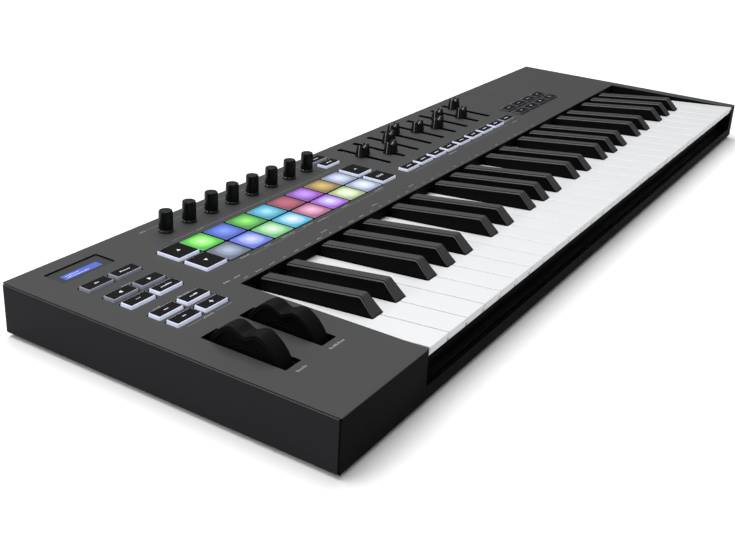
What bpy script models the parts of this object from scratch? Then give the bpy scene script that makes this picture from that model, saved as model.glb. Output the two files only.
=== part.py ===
"""A 49-key MIDI controller keyboard, built as separate parts around its real joints.

Lengths are in millimetres: x from the left end, y from the front edge, z up from the surface that
the feet stand on. finish() turns them into metres about the middle of the footprint.
"""

import math

import bmesh
import bpy
from mathutils import Vector
from mathutils.geometry import delaunay_2d_cdt

# ---------------------------------------------------------------- driving dimensions
MM = 0.001
WIDTH = 789.0
DEPTH = 258.0
FOOT = 3.0
BODY = 35.3
TOP = FOOT + BODY
WALL = 2.5
PANEL = 1.8
GAP = 0.3
OVERLAP = 1.0           # how far joined bodies and cutting tools reach past a face
FLOOR_TOP = FOOT + WALL
FLOOR_INSET = 0.4       # floor edge behind the outer faces of the walls
WALL_LIFT = 0.2         # lower edge of the walls above the underside of the floor
UNDER = TOP - PANEL     # underside of the top panel
HOLE_GAP = 0.35         # around every button and pad

BLOCK = 90.5            # width of the solid block left of the keys
CHEEK = 13.0            # width of the end cheek right of the keys
KEY_BACK = 140.5        # rear edge of the key opening
RAIL_TOP = FOOT + 9.4   # front rail under the keys
RAIL_Y = (0.2, 3.6)
FALLBOARD_THICK = 2.0
FALLBOARD_SIDE = 0.5    # from the walls of the key well
FALLBOARD_Z = (TOP - 9.3, TOP - 1.2)
FOOT_INSET = 22.0
FOOT_R = 9.0
FOOT_EDGE = (1.0, 0.8)  # chamfer of the feet: across, up

WHITE_PITCH = 23.57
WHITE_COUNT = 29
KEYS_X = 92.3
KEY_GAP = 0.8
KEY_FRONT = 0.3
KEY_THICK = 6.0
KEY_SLOPE = 0.0734      # rise of the white tops towards the player
NOTCH_Y = 49.5          # where a white key narrows beside a black one
SLAB_BACK = 146.0
BLACK_WIDTH = 12.0
BLACK_TOP_WIDTH = 9.4
BLACK_TOP_Y = 60.7
BLACK_END = 138.0
BLACK_FRONT_RISE = 12.4
BLACK_BACK_RISE = 8.7
BLACK_WAIST = 0.3       # height above the white keys where the sides start to lean in
BLACK_UNDER = -5.5
BLACK_STEPS = (0, 1, 3, 4, 5)
BLACK_SHIFT = {0: -2.2, 1: 2.2, 3: -3.3, 4: 0.0, 5: 3.3}
HINGE_Y = 187.0
HINGE_DROP = 5.0        # hinge axis below the line of the white tops
RAIL_HALF = 3.0
RAIL_INSET = 0.6        # rail ends from the outer edges of the comb's keys
ARM_THICK = 1.7
WEB_BITE = 0.6          # how far the web of a low arm reaches into its key
ARM_INSET = 1.0         # white arm from the edges of its key's tail
ARM_BACK = HINGE_Y + RAIL_HALF - 0.4
ARM_Y = SLAB_BACK - 5.0
WEB_Y = SLAB_BACK - 1.0
BLACK_ARM_INSET = 1.4
BLACK_ARM_Y = BLACK_END - 6.0
BLACK_RAIL_HALF = 5.0
SKIN = 0.1              # small overlaps that keep joined faces from being coplanar
LEVEL_BLACK = -2.2      # undersides of the comb rails, below the white tops
LEVEL_OUTER = -5.6
LEVEL_INNER = -10.0

BED_LEFT = KEYS_X - 1.0
BED_RIGHT = WIDTH - CHEEK - 0.6
BED_BASE = FLOOR_TOP + GAP
BED_Y = (6.0, 196.0)
BED_Z = (FLOOR_TOP + 2.9, FLOOR_TOP + 4.6)
BED_FOOT_Y = (7.0, 14.0)
BED_FOOT_INSET = 2.0
STOP_Y = (12.0, 22.0)
STOP_TOP = FOOT + 14.6
FELT_INSET = 0.5
FELT_TOP = FOOT + 18.2
LEDGE_Y = (181.0, 195.0)
LEDGE_TOP = FOOT + 10.6
LEDGE_REACH = 5.0
BOARD_THICK = 1.6
BOARD_INSET = 2.0
KEY_BOARD_Y = (92.0, 168.0)
STRIP_INSET = 4.0
STRIP_Y = (96.0, 126.0)
STRIP_THICK = 1.0
DOME_FOOT = (8.0, 20.0)
DOME_HEAD = (6.0, 16.0)
DOME_RISE = 4.2
CLAMP_Y = (182.0, 192.0)
CLAMP_THICK = 2.5
CLAMP_CLEAR = 0.8       # above the rails of the black combs
LEG_WIDTH = 3.0
LEG_INSET = 0.3

GRID = 24.35            # pitch of pads, knobs, faders and buttons
PAD_X = 114.0
PAD_ROWS = (167.9, 192.2)
PAD_SIZE = 22.9
PAD_PROUD = 0.8
SQUARE_SIZE = 21.0
SQUARE_ROWS = (168.8, 193.4)
SQUARE_X = (91.2, 310.0)
BUTTON_W = 21.3
BUTTON_D = 10.2
BUTTON_PROUD = 2.0
LEFT_X = (22.0, 46.4)
LEFT_ROWS = (130.8, 145.3, 168.2, 182.8, 204.0)
DEVICE_ROWS = (226.6, 240.4)
FADER_X = 359.6
FADER_COUNT = 9
FADER_SLOT = (192.8, 248.0)
FADER_SLOT_W = 2.8
FADER_TRAVEL = 45.0
FADER_DEPTH = 7.8
FADER_AT = (0.53, 0.215, 0.59, 0.815, 0.535, 0.35, 0.645, 0.33, 0.815)
FADER_BUTTON_Y = 168.4
TRANSPORT_X = 582.0
TRANSPORT_ROWS = (168.9, 183.6)
KNOB_X = 124.3
KNOB_Y = 236.4
KNOB_COUNT = 8
KNOB_HEIGHT = 16.2
KNOB_BASE_R = 5.6
KNOB_TOP_R = 5.1
KNOB_COLLAR = 1.6
KNOB_EDGE = 0.8
SHAFT_R = 3.0
SHAFT_HOLE_R = 3.6
SHAFT_DROP = 1.8        # below the panel's underside
ENCODER = (12.0, 13.0)
ENCODER_DROP = 2.4
BANK_DROP = 14.0
BANK_HALF = 9.0
BANK_THICK = 1.6
CAP_W = 13.5
CAP_HEIGHT = 10.7
CAP_LIFT = 0.4          # underside of a fader cap above the panel
CAP_DIP = 3.0
CAP_SHOULDER = 0.6
CAP_PINCH = 0.76        # depth at the top as a share of the depth at the foot
CAP_STEPS = 6
BLADE = (1.6, 4.8)
BLADE_Z = (UNDER - 6.0, TOP + 3.0)
SLIDE_DROP = (16.0, 3.0)      # bottom and top of the slide pots below the panel's underside
SLIDE_HALF = 4.5
SLIDE_SLIT = 1.6
SLIDE_FLOOR = 6.0
SLIDE_Y = (FADER_SLOT[0] - 0.6, FADER_SLOT[1] + 3.0)
SLIDE_BASE_HALF = 8.0
SLIDE_BASE_Y = (FADER_SLOT[0] - 1.0, FADER_SLOT[1] + 4.0)
SHEET = (UNDER - 1.5, UNDER - 0.4)   # base sheet of every silicone keypad
SHEET_MARGIN = 0.6
DRAFT = 0.4             # how much each side of a button leans in

LCD = (22.0, 227.3, 66.0, 245.2)
LENS_Z = (UNDER + 0.2, UNDER + 1.0)
MODULE_THICK = 2.4
MODULE_MARGIN = 2.0
CONTROL_BOARD_DROP = 4.6
CONTROL_BOARD = (
    (10.0, 124.0), (84.0, 124.0), (84.0, 147.0), (684.0, 147.0), (684.0, 200.0), (574.0, 200.0),
    (574.0, 186.0), (345.0, 186.0), (345.0, 252.0), (306.0, 252.0), (306.0, 224.0), (114.0, 224.0),
    (114.0, 252.0), (10.0, 252.0),
)
WHEEL_X = (28.0, 62.5)
WHEEL_Y = 82.0
WHEEL_Z = TOP - 12.4
WHEEL_R = 28.5
WHEEL_W = 12.4
WHEEL_SLOT = (14.0, 61.0)
WHEEL_SCOOP = 5.3
WHEEL_SCOOP_HALF = math.radians(24.0)
WHEEL_SPAN = math.radians(92.0)
WHEEL_STEPS = 36
HUB = 8.0
PIN_R = 3.0
PIN_REACH = 3.4         # beyond each face of the wheel
BRACKET_SIDE = 5.0
BRACKET_HALF = 16.0
BRACKET_THICK = 2.0
POST_THICK = 2.4
POST_FOOT = 12.0
POST_HEAD = 7.0
POST_RISE = 6.0         # above the wheel axis
POST_CLEAR = 1.2        # between a post and the wheel

USB_X = 34.0
MIDI_X = 64.0
JACK_X = 92.0
SOCKET_Z = 18.5
SOCKET_FACE = DEPTH - WALL - GAP
USB_SIZE = (12.0, 10.8)
USB_MOUTH = (9.0, 8.4)
USB_LENGTH = (16.0, 9.5)      # body, then opening
MIDI_SIZE = 20.0
MIDI_HOLE_R = 8.0
MIDI_R = 7.7
MIDI_LENGTH = (14.0, 8.5)
JACK_SIZE = 15.0
JACK_HOLE_R = 4.6
JACK_R = 3.25
JACK_LENGTH = (30.0, 26.0)

COLOURS = {
    "case": ((0.035, 0.036, 0.038), 0.55, 0.0),
    "panel": ((0.085, 0.086, 0.088), 0.5, 0.0),
    "white_key": ((0.86, 0.87, 0.88), 0.25, 0.0),
    "black_key": ((0.018, 0.018, 0.019), 0.35, 0.0),
    "knob": ((0.012, 0.012, 0.013), 0.45, 0.0),
    "rubber": ((0.02, 0.02, 0.022), 0.8, 0.0),
    "pad": ((0.62, 0.68, 0.86), 0.5, 0.0),
    "button": ((0.05, 0.05, 0.055), 0.6, 0.0),
    "metal": ((0.55, 0.56, 0.58), 0.35, 1.0),
    "board": ((0.03, 0.16, 0.08), 0.5, 0.0),
    "glass": ((0.02, 0.02, 0.03), 0.08, 0.0),
    "display": ((0.1, 0.17, 0.75), 0.4, 0.0),
    "felt": ((0.25, 0.04, 0.05), 0.95, 0.0),
}


# ---------------------------------------------------------------- shape helpers
def inside(u, v, loops):
    """Even-odd test: in the outline and in none of its holes."""
    hit = False
    for loop in loops:
        for (u0, v0), (u1, v1) in zip(loop, loop[1:] + loop[:1]):
            if (v0 > v) != (v1 > v) and u < u0 + (v - v0) * (u1 - u0) / (v1 - v0):
                hit = not hit
    return hit


def triangles(loops):
    """Triangles that fill an outline around its holes, as indices into the loops' points."""
    points = [Vector(point) for loop in loops for point in loop]
    edges = []
    for loop in loops:
        start = len(edges)
        edges += [(start + i, start + (i + 1) % len(loop)) for i in range(len(loop))]
    placed, _, faces, source, _, _ = delaunay_2d_cdt(points, edges, [], 1, 1e-5)
    kept = []
    for face in faces:
        middle = sum((placed[i] for i in face), Vector((0.0, 0.0))) / len(face)
        if inside(middle.x, middle.y, loops):
            kept.append([source[i][0] for i in face])
    return kept


def prism(outline, low, high, place, holes=()):
    """A closed prism on a flat outline with holes; place(u, v, w) gives each point."""
    loops = [list(outline)] + [list(hole) for hole in holes]
    bm = bmesh.new()
    lower = [bm.verts.new(place(u, v, low)) for loop in loops for u, v in loop]
    upper = [bm.verts.new(place(u, v, high)) for loop in loops for u, v in loop]
    for tri in triangles(loops):
        bm.faces.new([lower[i] for i in tri])
        bm.faces.new([upper[i] for i in reversed(tri)])
    start = 0
    for loop in loops:
        count = len(loop)
        for i in range(count):
            a = start + i
            b = start + (i + 1) % count
            bm.faces.new((lower[a], lower[b], upper[b], upper[a]))
        start += count
    bmesh.ops.recalc_face_normals(bm, faces=bm.faces)
    return bm


def slab(outline, z0, z1, holes=()):
    return prism(outline, z0, z1, lambda u, v, w: (u, v, w), holes)


def side(outline, x0, x1, holes=()):
    """A prism along x on a (y, z) outline."""
    return prism(outline, x0, x1, lambda u, v, w: (w, u, v), holes)


def through(outline, y0, y1, holes=()):
    """A prism along y on an (x, z) outline."""
    return prism(outline, y0, y1, lambda u, v, w: (u, w, v), holes)


def rect(x0, y0, x1, y1):
    return [(x0, y0), (x1, y0), (x1, y1), (x0, y1)]


def centred(x, y, width, depth):
    """A rectangle about its middle."""
    return rect(x - width / 2.0, y - depth / 2.0, x + width / 2.0, y + depth / 2.0)


def circle(x, y, radius, count=16):
    step = 2.0 * math.pi / count
    return [(x + radius * math.cos(i * step), y + radius * math.sin(i * step)) for i in range(count)]


def box(x0, y0, z0, x1, y1, z1):
    return slab(rect(x0, y0, x1, y1), z0, z1)


def turned(profile, x, y, segments=16):
    """A solid of revolution about the vertical; profile is (radius, z), bottom to top."""
    bm = bmesh.new()
    rings = []
    for radius, z in profile:
        rings.append([bm.verts.new((u, v, z)) for u, v in circle(x, y, radius, segments)])
    for low, high in zip(rings, rings[1:]):
        for i in range(segments):
            j = (i + 1) % segments
            bm.faces.new((low[i], low[j], high[j], high[i]))
    bm.faces.new(list(reversed(rings[0])))
    bm.faces.new(rings[-1])
    bmesh.ops.recalc_face_normals(bm, faces=bm.faces)
    return bm


def frustum(base, top, z0, z1):
    """A four-sided block between two rectangles, the upper one smaller than the lower."""
    bm = bmesh.new()
    low = [bm.verts.new((x, y, z0)) for x, y in base]
    high = [bm.verts.new((x, y, z1)) for x, y in top]
    bm.faces.new(list(reversed(low)))
    bm.faces.new(high)
    for i in range(4):
        j = (i + 1) % 4
        bm.faces.new((low[i], low[j], high[j], high[i]))
    return bm


def temporary(bm, name):
    mesh = bpy.data.meshes.new(name)
    bm.to_mesh(mesh)
    bm.free()
    obj = bpy.data.objects.new(name, mesh)
    bpy.context.collection.objects.link(obj)
    return obj


def combine(bodies, operation):
    """The first body joined with, or cut by, each of the others in turn."""
    target = temporary(bodies[0], "work")
    tools = [temporary(body, "tool") for body in bodies[1:]]
    for tool in tools:
        modifier = target.modifiers.new("step", "BOOLEAN")
        modifier.operation = operation
        modifier.solver = "EXACT"
        modifier.object = tool
    bpy.context.view_layer.update()
    graph = bpy.context.evaluated_depsgraph_get()
    mesh = bpy.data.meshes.new_from_object(target.evaluated_get(graph))
    bm = bmesh.new()
    bm.from_mesh(mesh)
    bpy.data.meshes.remove(mesh)
    for obj in [target] + tools:
        old = obj.data
        bpy.data.objects.remove(obj)
        bpy.data.meshes.remove(old)
    return bm


def join(*bodies):
    return combine(list(bodies), "UNION")


def cut(body, *tools):
    return combine([body] + list(tools), "DIFFERENCE")


def material(kind):
    mat = bpy.data.materials.new(kind)
    mat.use_nodes = True
    shader = mat.node_tree.nodes["Principled BSDF"]
    colour, roughness, metallic = COLOURS[kind]
    shader.inputs["Base Color"].default_value = (*colour, 1.0)
    shader.inputs["Roughness"].default_value = roughness
    shader.inputs["Metallic"].default_value = metallic
    return mat


def world(x, y, z):
    return Vector(((x - WIDTH / 2.0) * MM, (y - DEPTH / 2.0) * MM, z * MM))


def finish(name, bm, kind, origin=None, smooth=False):
    """Make the named object, with its origin on its joint's axis where it moves."""
    place = world(*origin) if origin else Vector((0.0, 0.0, 0.0))
    for vert in bm.verts:
        vert.co = world(*vert.co) - place
    mesh = bpy.data.meshes.new(name)
    bm.to_mesh(mesh)
    bm.free()
    mesh.materials.append(material(kind))
    if smooth:
        mesh.shade_smooth()
        mesh.set_sharp_from_angle(angle=math.radians(35.0))
    obj = bpy.data.objects.new(name, mesh)
    obj.location = place
    bpy.context.collection.objects.link(obj)
    return obj


# ---------------------------------------------------------------- casing
def right_inner():
    return WIDTH - CHEEK


def bottom_case():
    inner = right_inner()
    seam = UNDER - GAP
    left_walls = [
        (0.0, 0.0), (BLOCK, 0.0), (BLOCK, KEY_BACK), (BLOCK - WALL, KEY_BACK), (BLOCK - WALL, WALL),
        (WALL, WALL), (WALL, DEPTH), (0.0, DEPTH),
    ]
    right_walls = [
        (inner, 0.0), (WIDTH, 0.0), (WIDTH, DEPTH), (WIDTH - WALL, DEPTH), (WIDTH - WALL, WALL),
        (inner + WALL, WALL), (inner + WALL, KEY_BACK), (inner, KEY_BACK),
    ]
    walls = [slab(outline, FOOT + WALL_LIFT, seam) for outline in (left_walls, right_walls)]
    edge = FLOOR_INSET
    floor = box(edge, edge, FOOT, WIDTH - edge, DEPTH - edge, FLOOR_TOP)
    rail = box(BLOCK - OVERLAP, RAIL_Y[0], FOOT + GAP, inner + OVERLAP, RAIL_Y[1], RAIL_TOP)
    finish("bottom_case", join(*walls, floor, rail), "case")


def rear_panel():
    """The plate between the side walls at the back, with the three socket openings."""
    edge = WALL + GAP
    plate = box(edge, DEPTH - WALL, FLOOR_TOP + GAP, WIDTH - edge, DEPTH, UNDER - GAP)
    reach = (DEPTH - WALL - OVERLAP, DEPTH + OVERLAP)
    usb = through(centred(USB_X, SOCKET_Z, *USB_SIZE), *reach)
    midi = through(circle(MIDI_X, SOCKET_Z, MIDI_HOLE_R, 20), *reach)
    jack = through(circle(JACK_X, SOCKET_Z, JACK_HOLE_R), *reach)
    finish("rear_panel", cut(plate, usb, midi, jack), "case")


def button_rects(xs, ys, width, depth, margin):
    return [rect(x - margin, y - margin, x + width + margin, y + depth + margin) for y in ys for x in xs]


def grid_x(start, count):
    return [start + i * GRID for i in range(count)]


def panel_holes():
    around = HOLE_GAP
    pad_right = PAD_X + 7 * GRID + PAD_SIZE + around
    pad_rear = PAD_ROWS[1] + PAD_SIZE + around
    holes = [rect(*LCD), rect(PAD_X - around, PAD_ROWS[0] - around, pad_right, pad_rear)]
    holes += button_rects(SQUARE_X, SQUARE_ROWS, SQUARE_SIZE, SQUARE_SIZE, around)
    holes += button_rects(LEFT_X, LEFT_ROWS, BUTTON_W, BUTTON_D, around)
    holes += button_rects(SQUARE_X[1:], DEVICE_ROWS, BUTTON_W, BUTTON_D, around)
    fader_buttons = grid_x(FADER_X - BUTTON_W / 2.0, FADER_COUNT)
    holes += button_rects(fader_buttons, (FADER_BUTTON_Y,), BUTTON_W, BUTTON_D, around)
    holes += button_rects(grid_x(TRANSPORT_X, 4), TRANSPORT_ROWS, BUTTON_W, BUTTON_D, around)
    half = FADER_SLOT_W / 2.0
    front, back = FADER_SLOT
    holes += [rect(x - half, front, x + half, back) for x in grid_x(FADER_X, FADER_COUNT)]
    holes += [circle(x, KNOB_Y, SHAFT_HOLE_R, 12) for x in grid_x(KNOB_X, KNOB_COUNT)]
    holes += [centred(x, WHEEL_Y, *WHEEL_SLOT) for x in WHEEL_X]
    return holes


def top_panel():
    inner = right_inner()
    outline = [
        (0.0, 0.0), (BLOCK, 0.0), (BLOCK, KEY_BACK), (inner, KEY_BACK), (inner, 0.0),
        (WIDTH, 0.0), (WIDTH, DEPTH), (0.0, DEPTH),
    ]
    plate = slab(outline, UNDER, TOP, panel_holes())
    front = KEY_BACK + GAP
    left, right = BLOCK + FALLBOARD_SIDE, inner - FALLBOARD_SIDE
    fallboard = box(left, front, FALLBOARD_Z[0], right, front + FALLBOARD_THICK, FALLBOARD_Z[1])
    finish("top_panel", join(plate, fallboard), "panel")


def feet():
    inset = FOOT_INSET
    spots = [(x, y) for x in (inset, WIDTH - inset) for y in (inset, DEPTH - inset)]
    across, up = FOOT_EDGE
    profile = ((FOOT_R - across, 0.0), (FOOT_R, up), (FOOT_R, FOOT - GAP))
    for number, (x, y) in enumerate(spots, 1):
        finish(f"foot_{number}", turned(profile, x, y), "rubber", smooth=True)


# ---------------------------------------------------------------- keys
def white_top(y):
    return TOP - KEY_SLOPE * y


def lean(bm):
    """Tilt a body drawn against a level white surface so that it follows the keys' slope."""
    for vert in bm.verts:
        vert.co.z += white_top(vert.co.y)
    return bm


def black_centre(white):
    """The black key between this white key and the next."""
    return KEYS_X + (white + 1) * WHITE_PITCH + BLACK_SHIFT[white % 7]


def has_black_after(white):
    return white % 7 in BLACK_SHIFT and white + 1 < WHITE_COUNT


def white_tail(white):
    """Left and right edges of the narrow rear part of a white key."""
    clear = BLACK_WIDTH / 2.0 + KEY_GAP
    left = KEYS_X + white * WHITE_PITCH + KEY_GAP / 2.0
    right = left + WHITE_PITCH - KEY_GAP
    tail_left = black_centre(white - 1) + clear if white and has_black_after(white - 1) else left
    tail_right = black_centre(white) - clear if has_black_after(white) else right
    return left, right, tail_left, tail_right


def white_slab(white):
    left, right, tail_left, tail_right = white_tail(white)
    outline = [(left, KEY_FRONT), (right, KEY_FRONT)]
    if tail_right < right:
        outline += [(right, NOTCH_Y), (tail_right, NOTCH_Y)]
    outline += [(tail_right, SLAB_BACK), (tail_left, SLAB_BACK)]
    if tail_left > left:
        outline += [(tail_left, NOTCH_Y), (left, NOTCH_Y)]
    return slab(outline, -KEY_THICK, 0.0)


def white_arm(white, level):
    """The thin arm from the back of a white key to its comb's rail."""
    _, _, tail_left, tail_right = white_tail(white)
    top = level + ARM_THICK
    outline = [(ARM_Y, level), (ARM_BACK, level), (ARM_BACK, top)]
    if level < -KEY_THICK:
        web_top = WEB_BITE - KEY_THICK
        outline += [(WEB_Y, top), (WEB_Y, web_top), (ARM_Y, web_top)]
    else:
        outline += [(ARM_Y, top)]
    return side(outline, tail_left + ARM_INSET, tail_right - ARM_INSET)


def comb_rail(left, right, level):
    top = level + ARM_THICK + SKIN
    return box(left, HINGE_Y - RAIL_HALF, level - SKIN, right, HINGE_Y + RAIL_HALF, top)


def hinge_point(x):
    return x, HINGE_Y, white_top(HINGE_Y) - HINGE_DROP


def white_comb(name, keys, level):
    pieces = [white_slab(key) for key in keys] + [white_arm(key, level) for key in keys]
    left = white_tail(keys[0])[2]
    right = white_tail(keys[-1])[3]
    rail = comb_rail(left + RAIL_INSET, right - RAIL_INSET, level)
    finish(name, lean(join(rail, *pieces)), "white_key", hinge_point((left + right) / 2.0))


def black_body(white):
    """A raised black key: wide at the white surface, narrower on top, with a sloping front."""
    middle = black_centre(white)
    wide = BLACK_WIDTH / 2.0
    narrow = BLACK_TOP_WIDTH / 2.0
    front = NOTCH_Y + KEY_GAP
    sections = [
        (front, wide, BLACK_UNDER), (BLACK_END, wide, BLACK_UNDER),
        (front, wide, BLACK_WAIST), (BLACK_END, wide, BLACK_WAIST),
        (BLACK_TOP_Y, narrow, BLACK_FRONT_RISE), (BLACK_END, narrow, BLACK_BACK_RISE),
    ]
    bm = bmesh.new()
    left = [bm.verts.new((middle - half, y, z)) for y, half, z in sections]
    right = [bm.verts.new((middle + half, y, z)) for y, half, z in sections]
    for row in (left, right):
        bm.faces.new((row[0], row[1], row[3], row[2]))
        bm.faces.new((row[2], row[3], row[5], row[4]))
    for a, b in ((0, 1), (1, 3), (3, 5), (5, 4), (4, 2), (2, 0)):
        bm.faces.new((left[a], left[b], right[b], right[a]))
    bmesh.ops.recalc_face_normals(bm, faces=bm.faces)
    return bm


def black_comb(name, keys):
    pieces = [black_body(key) for key in keys]
    for key in keys:
        middle = black_centre(key)
        half = BLACK_WIDTH / 2.0 - BLACK_ARM_INSET
        top = LEVEL_BLACK + ARM_THICK
        pieces.append(box(middle - half, BLACK_ARM_Y, LEVEL_BLACK, middle + half, ARM_BACK, top))
    left = black_centre(keys[0]) - BLACK_RAIL_HALF
    right = black_centre(keys[-1]) + BLACK_RAIL_HALF
    rail = comb_rail(left, right, LEVEL_BLACK)
    finish(name, lean(join(rail, *pieces)), "black_key", hinge_point((left + right) / 2.0))


def keys():
    for octave in range(4):
        first = 7 * octave
        number = octave + 1
        white_comb(f"white_keys_cegb_{number}", [first, first + 2, first + 4, first + 6], LEVEL_INNER)
        white_comb(f"white_keys_dfa_{number}", [first + 1, first + 3, first + 5], LEVEL_OUTER)
        black_comb(f"black_keys_{number}", [first + step for step in BLACK_STEPS])
    white_comb("white_key_top_c", [WHITE_COUNT - 1], LEVEL_INNER)


def across_bed(inset, ys, z0, z1):
    """A bar along the whole key bed, set in from its ends."""
    return box(BED_LEFT + inset, ys[0], z0, BED_RIGHT - inset, ys[1], z1)


def key_bed():
    plate = across_bed(0.0, BED_Y, *BED_Z)
    stop = across_bed(OVERLAP, STOP_Y, BED_Z[0] + SKIN, STOP_TOP)
    ledge = across_bed(-LEDGE_REACH, LEDGE_Y, BED_BASE, LEDGE_TOP)
    front_foot = across_bed(BED_FOOT_INSET, BED_FOOT_Y, BED_BASE, BED_Z[0] + SKIN)
    finish("key_chassis", join(plate, stop, ledge, front_foot), "metal")
    felt_y = (STOP_Y[0] + FELT_INSET, STOP_Y[1] - FELT_INSET)
    finish("key_stop_felt", across_bed(OVERLAP, felt_y, STOP_TOP + GAP, FELT_TOP), "felt")
    board_z = BED_Z[1] + GAP
    board = across_bed(BOARD_INSET, KEY_BOARD_Y, board_z, board_z + BOARD_THICK)
    finish("key_circuit_board", board, "board")
    strip_z = board_z + BOARD_THICK + GAP
    strip = [across_bed(STRIP_INSET, STRIP_Y, strip_z, strip_z + STRIP_THICK)]
    middle = (STRIP_Y[0] + STRIP_Y[1]) / 2.0
    for white in range(WHITE_COUNT):
        x = KEYS_X + (white + 0.5) * WHITE_PITCH
        foot = centred(x, middle, *DOME_FOOT)
        head = centred(x, middle, *DOME_HEAD)
        strip.append(frustum(foot, head, strip_z + STRIP_THICK - SKIN, strip_z + DOME_RISE))
    finish("key_contact_strip", join(*strip), "rubber")
    clamp_z = white_top(HINGE_Y - RAIL_HALF) + LEVEL_BLACK + ARM_THICK + SKIN + CLAMP_CLEAR
    reach = LEDGE_REACH - SKIN
    clamp = [across_bed(-reach, CLAMP_Y, clamp_z, clamp_z + CLAMP_THICK)]
    leg_y = (CLAMP_Y[0] + LEG_INSET, CLAMP_Y[1] - LEG_INSET)
    for x in (BED_LEFT - reach + SKIN, BED_RIGHT + reach - SKIN - LEG_WIDTH):
        clamp.append(box(x, leg_y[0], LEDGE_TOP + GAP, x + LEG_WIDTH, leg_y[1], clamp_z + OVERLAP))
    finish("key_hinge_clamp", join(*clamp), "metal")


# ---------------------------------------------------------------- silicone keypads
def keypad(name, xs, ys, width, depth, proud, kind):
    """One moulded mat: a base sheet under the panel with a key standing up through each hole."""
    margin = SHEET_MARGIN
    right, rear = xs[-1] + width + margin, ys[-1] + depth + margin
    bodies = [slab(rect(xs[0] - margin, ys[0] - margin, right, rear), *SHEET)]
    for y in ys:
        for x in xs:
            foot = rect(x, y, x + width, y + depth)
            head = rect(x + DRAFT, y + DRAFT, x + width - DRAFT, y + depth - DRAFT)
            bodies.append(frustum(foot, head, SHEET[0] + DRAFT, TOP + proud))
    finish(name, join(*bodies), kind)


def buttons(name, xs, ys, width=BUTTON_W, depth=BUTTON_D):
    keypad(name, xs, ys, width, depth, BUTTON_PROUD, "button")


def keypads():
    keypad("drum_pads", grid_x(PAD_X, 8), PAD_ROWS, PAD_SIZE, PAD_SIZE, PAD_PROUD, "pad")
    buttons("scene_buttons_left", SQUARE_X[:1], SQUARE_ROWS, SQUARE_SIZE, SQUARE_SIZE)
    buttons("scene_buttons_right", SQUARE_X[1:], SQUARE_ROWS, SQUARE_SIZE, SQUARE_SIZE)
    buttons("menu_buttons", LEFT_X, LEFT_ROWS)
    buttons("device_buttons", SQUARE_X[1:], DEVICE_ROWS)
    buttons("fader_buttons", grid_x(FADER_X - BUTTON_W / 2.0, FADER_COUNT), (FADER_BUTTON_Y,))
    buttons("transport_buttons", grid_x(TRANSPORT_X, 4), TRANSPORT_ROWS)


# ---------------------------------------------------------------- knobs and faders
def knobs():
    base = TOP + GAP
    crest = TOP + KNOB_HEIGHT
    profile = (
        (SHAFT_R, UNDER - SHAFT_DROP), (SHAFT_R, base), (KNOB_BASE_R, base),
        (KNOB_BASE_R, base + KNOB_COLLAR), (KNOB_TOP_R, crest - KNOB_EDGE), (KNOB_TOP_R - KNOB_EDGE, crest),
    )
    for number, x in enumerate(grid_x(KNOB_X, KNOB_COUNT), 1):
        finish(f"knob_{number}", turned(profile, x, KNOB_Y), "knob", (x, KNOB_Y, TOP), smooth=True)
    shelf = UNDER - BANK_DROP
    half = BANK_HALF
    last = KNOB_X + (KNOB_COUNT - 1) * GRID
    bank = [box(KNOB_X - half, KNOB_Y - half, shelf, last + half, KNOB_Y + half, shelf + BANK_THICK)]
    for x in grid_x(KNOB_X, KNOB_COUNT):
        bank.append(slab(centred(x, KNOB_Y, *ENCODER), shelf + OVERLAP, UNDER - ENCODER_DROP))
    finish("encoder_bank", join(*bank), "metal")


def fader_cap(x, y):
    """A wide cap with a scooped top, on a blade that passes through the slot."""
    half = CAP_W / 2.0
    base = TOP + CAP_LIFT
    arch = [(x + half, base)]
    for i in range(CAP_STEPS + 1):
        t = 1.0 - 2.0 * i / CAP_STEPS
        arch.append((x + (half - CAP_SHOULDER) * t, TOP + CAP_HEIGHT - CAP_DIP * (1.0 - t * t)))
    arch.append((x - half, base))
    body = through(arch, y - FADER_DEPTH / 2.0, y + FADER_DEPTH / 2.0)
    for vert in body.verts:
        if vert.co.z > base + OVERLAP:
            vert.co.y = y + (vert.co.y - y) * CAP_PINCH
    return join(body, slab(centred(x, y, *BLADE), *BLADE_Z))


def faders():
    middle = (FADER_SLOT[0] + FADER_SLOT[1]) / 2.0
    for number, (x, part) in enumerate(zip(grid_x(FADER_X, FADER_COUNT), FADER_AT), 1):
        y = middle + (part - 0.5) * FADER_TRAVEL
        finish(f"fader_cap_{number}", fader_cap(x, y), "knob", (x, y, TOP))
    shelf, top = (UNDER - drop for drop in SLIDE_DROP)
    last = FADER_X + (FADER_COUNT - 1) * GRID
    front, back = SLIDE_BASE_Y
    rack = [box(FADER_X - SLIDE_BASE_HALF, front, shelf, last + SLIDE_BASE_HALF, back, shelf + BANK_THICK)]
    half = SLIDE_HALF
    slit = SLIDE_SLIT
    low = shelf + OVERLAP
    bottom = shelf + SLIDE_FLOOR
    for x in grid_x(FADER_X, FADER_COUNT):
        channel = [
            (x - half, low), (x + half, low), (x + half, top), (x + slit, top),
            (x + slit, bottom), (x - slit, bottom), (x - slit, top), (x - half, top),
        ]
        rack.append(through(channel, *SLIDE_Y))
    finish("fader_bank", join(*rack), "metal")


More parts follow.
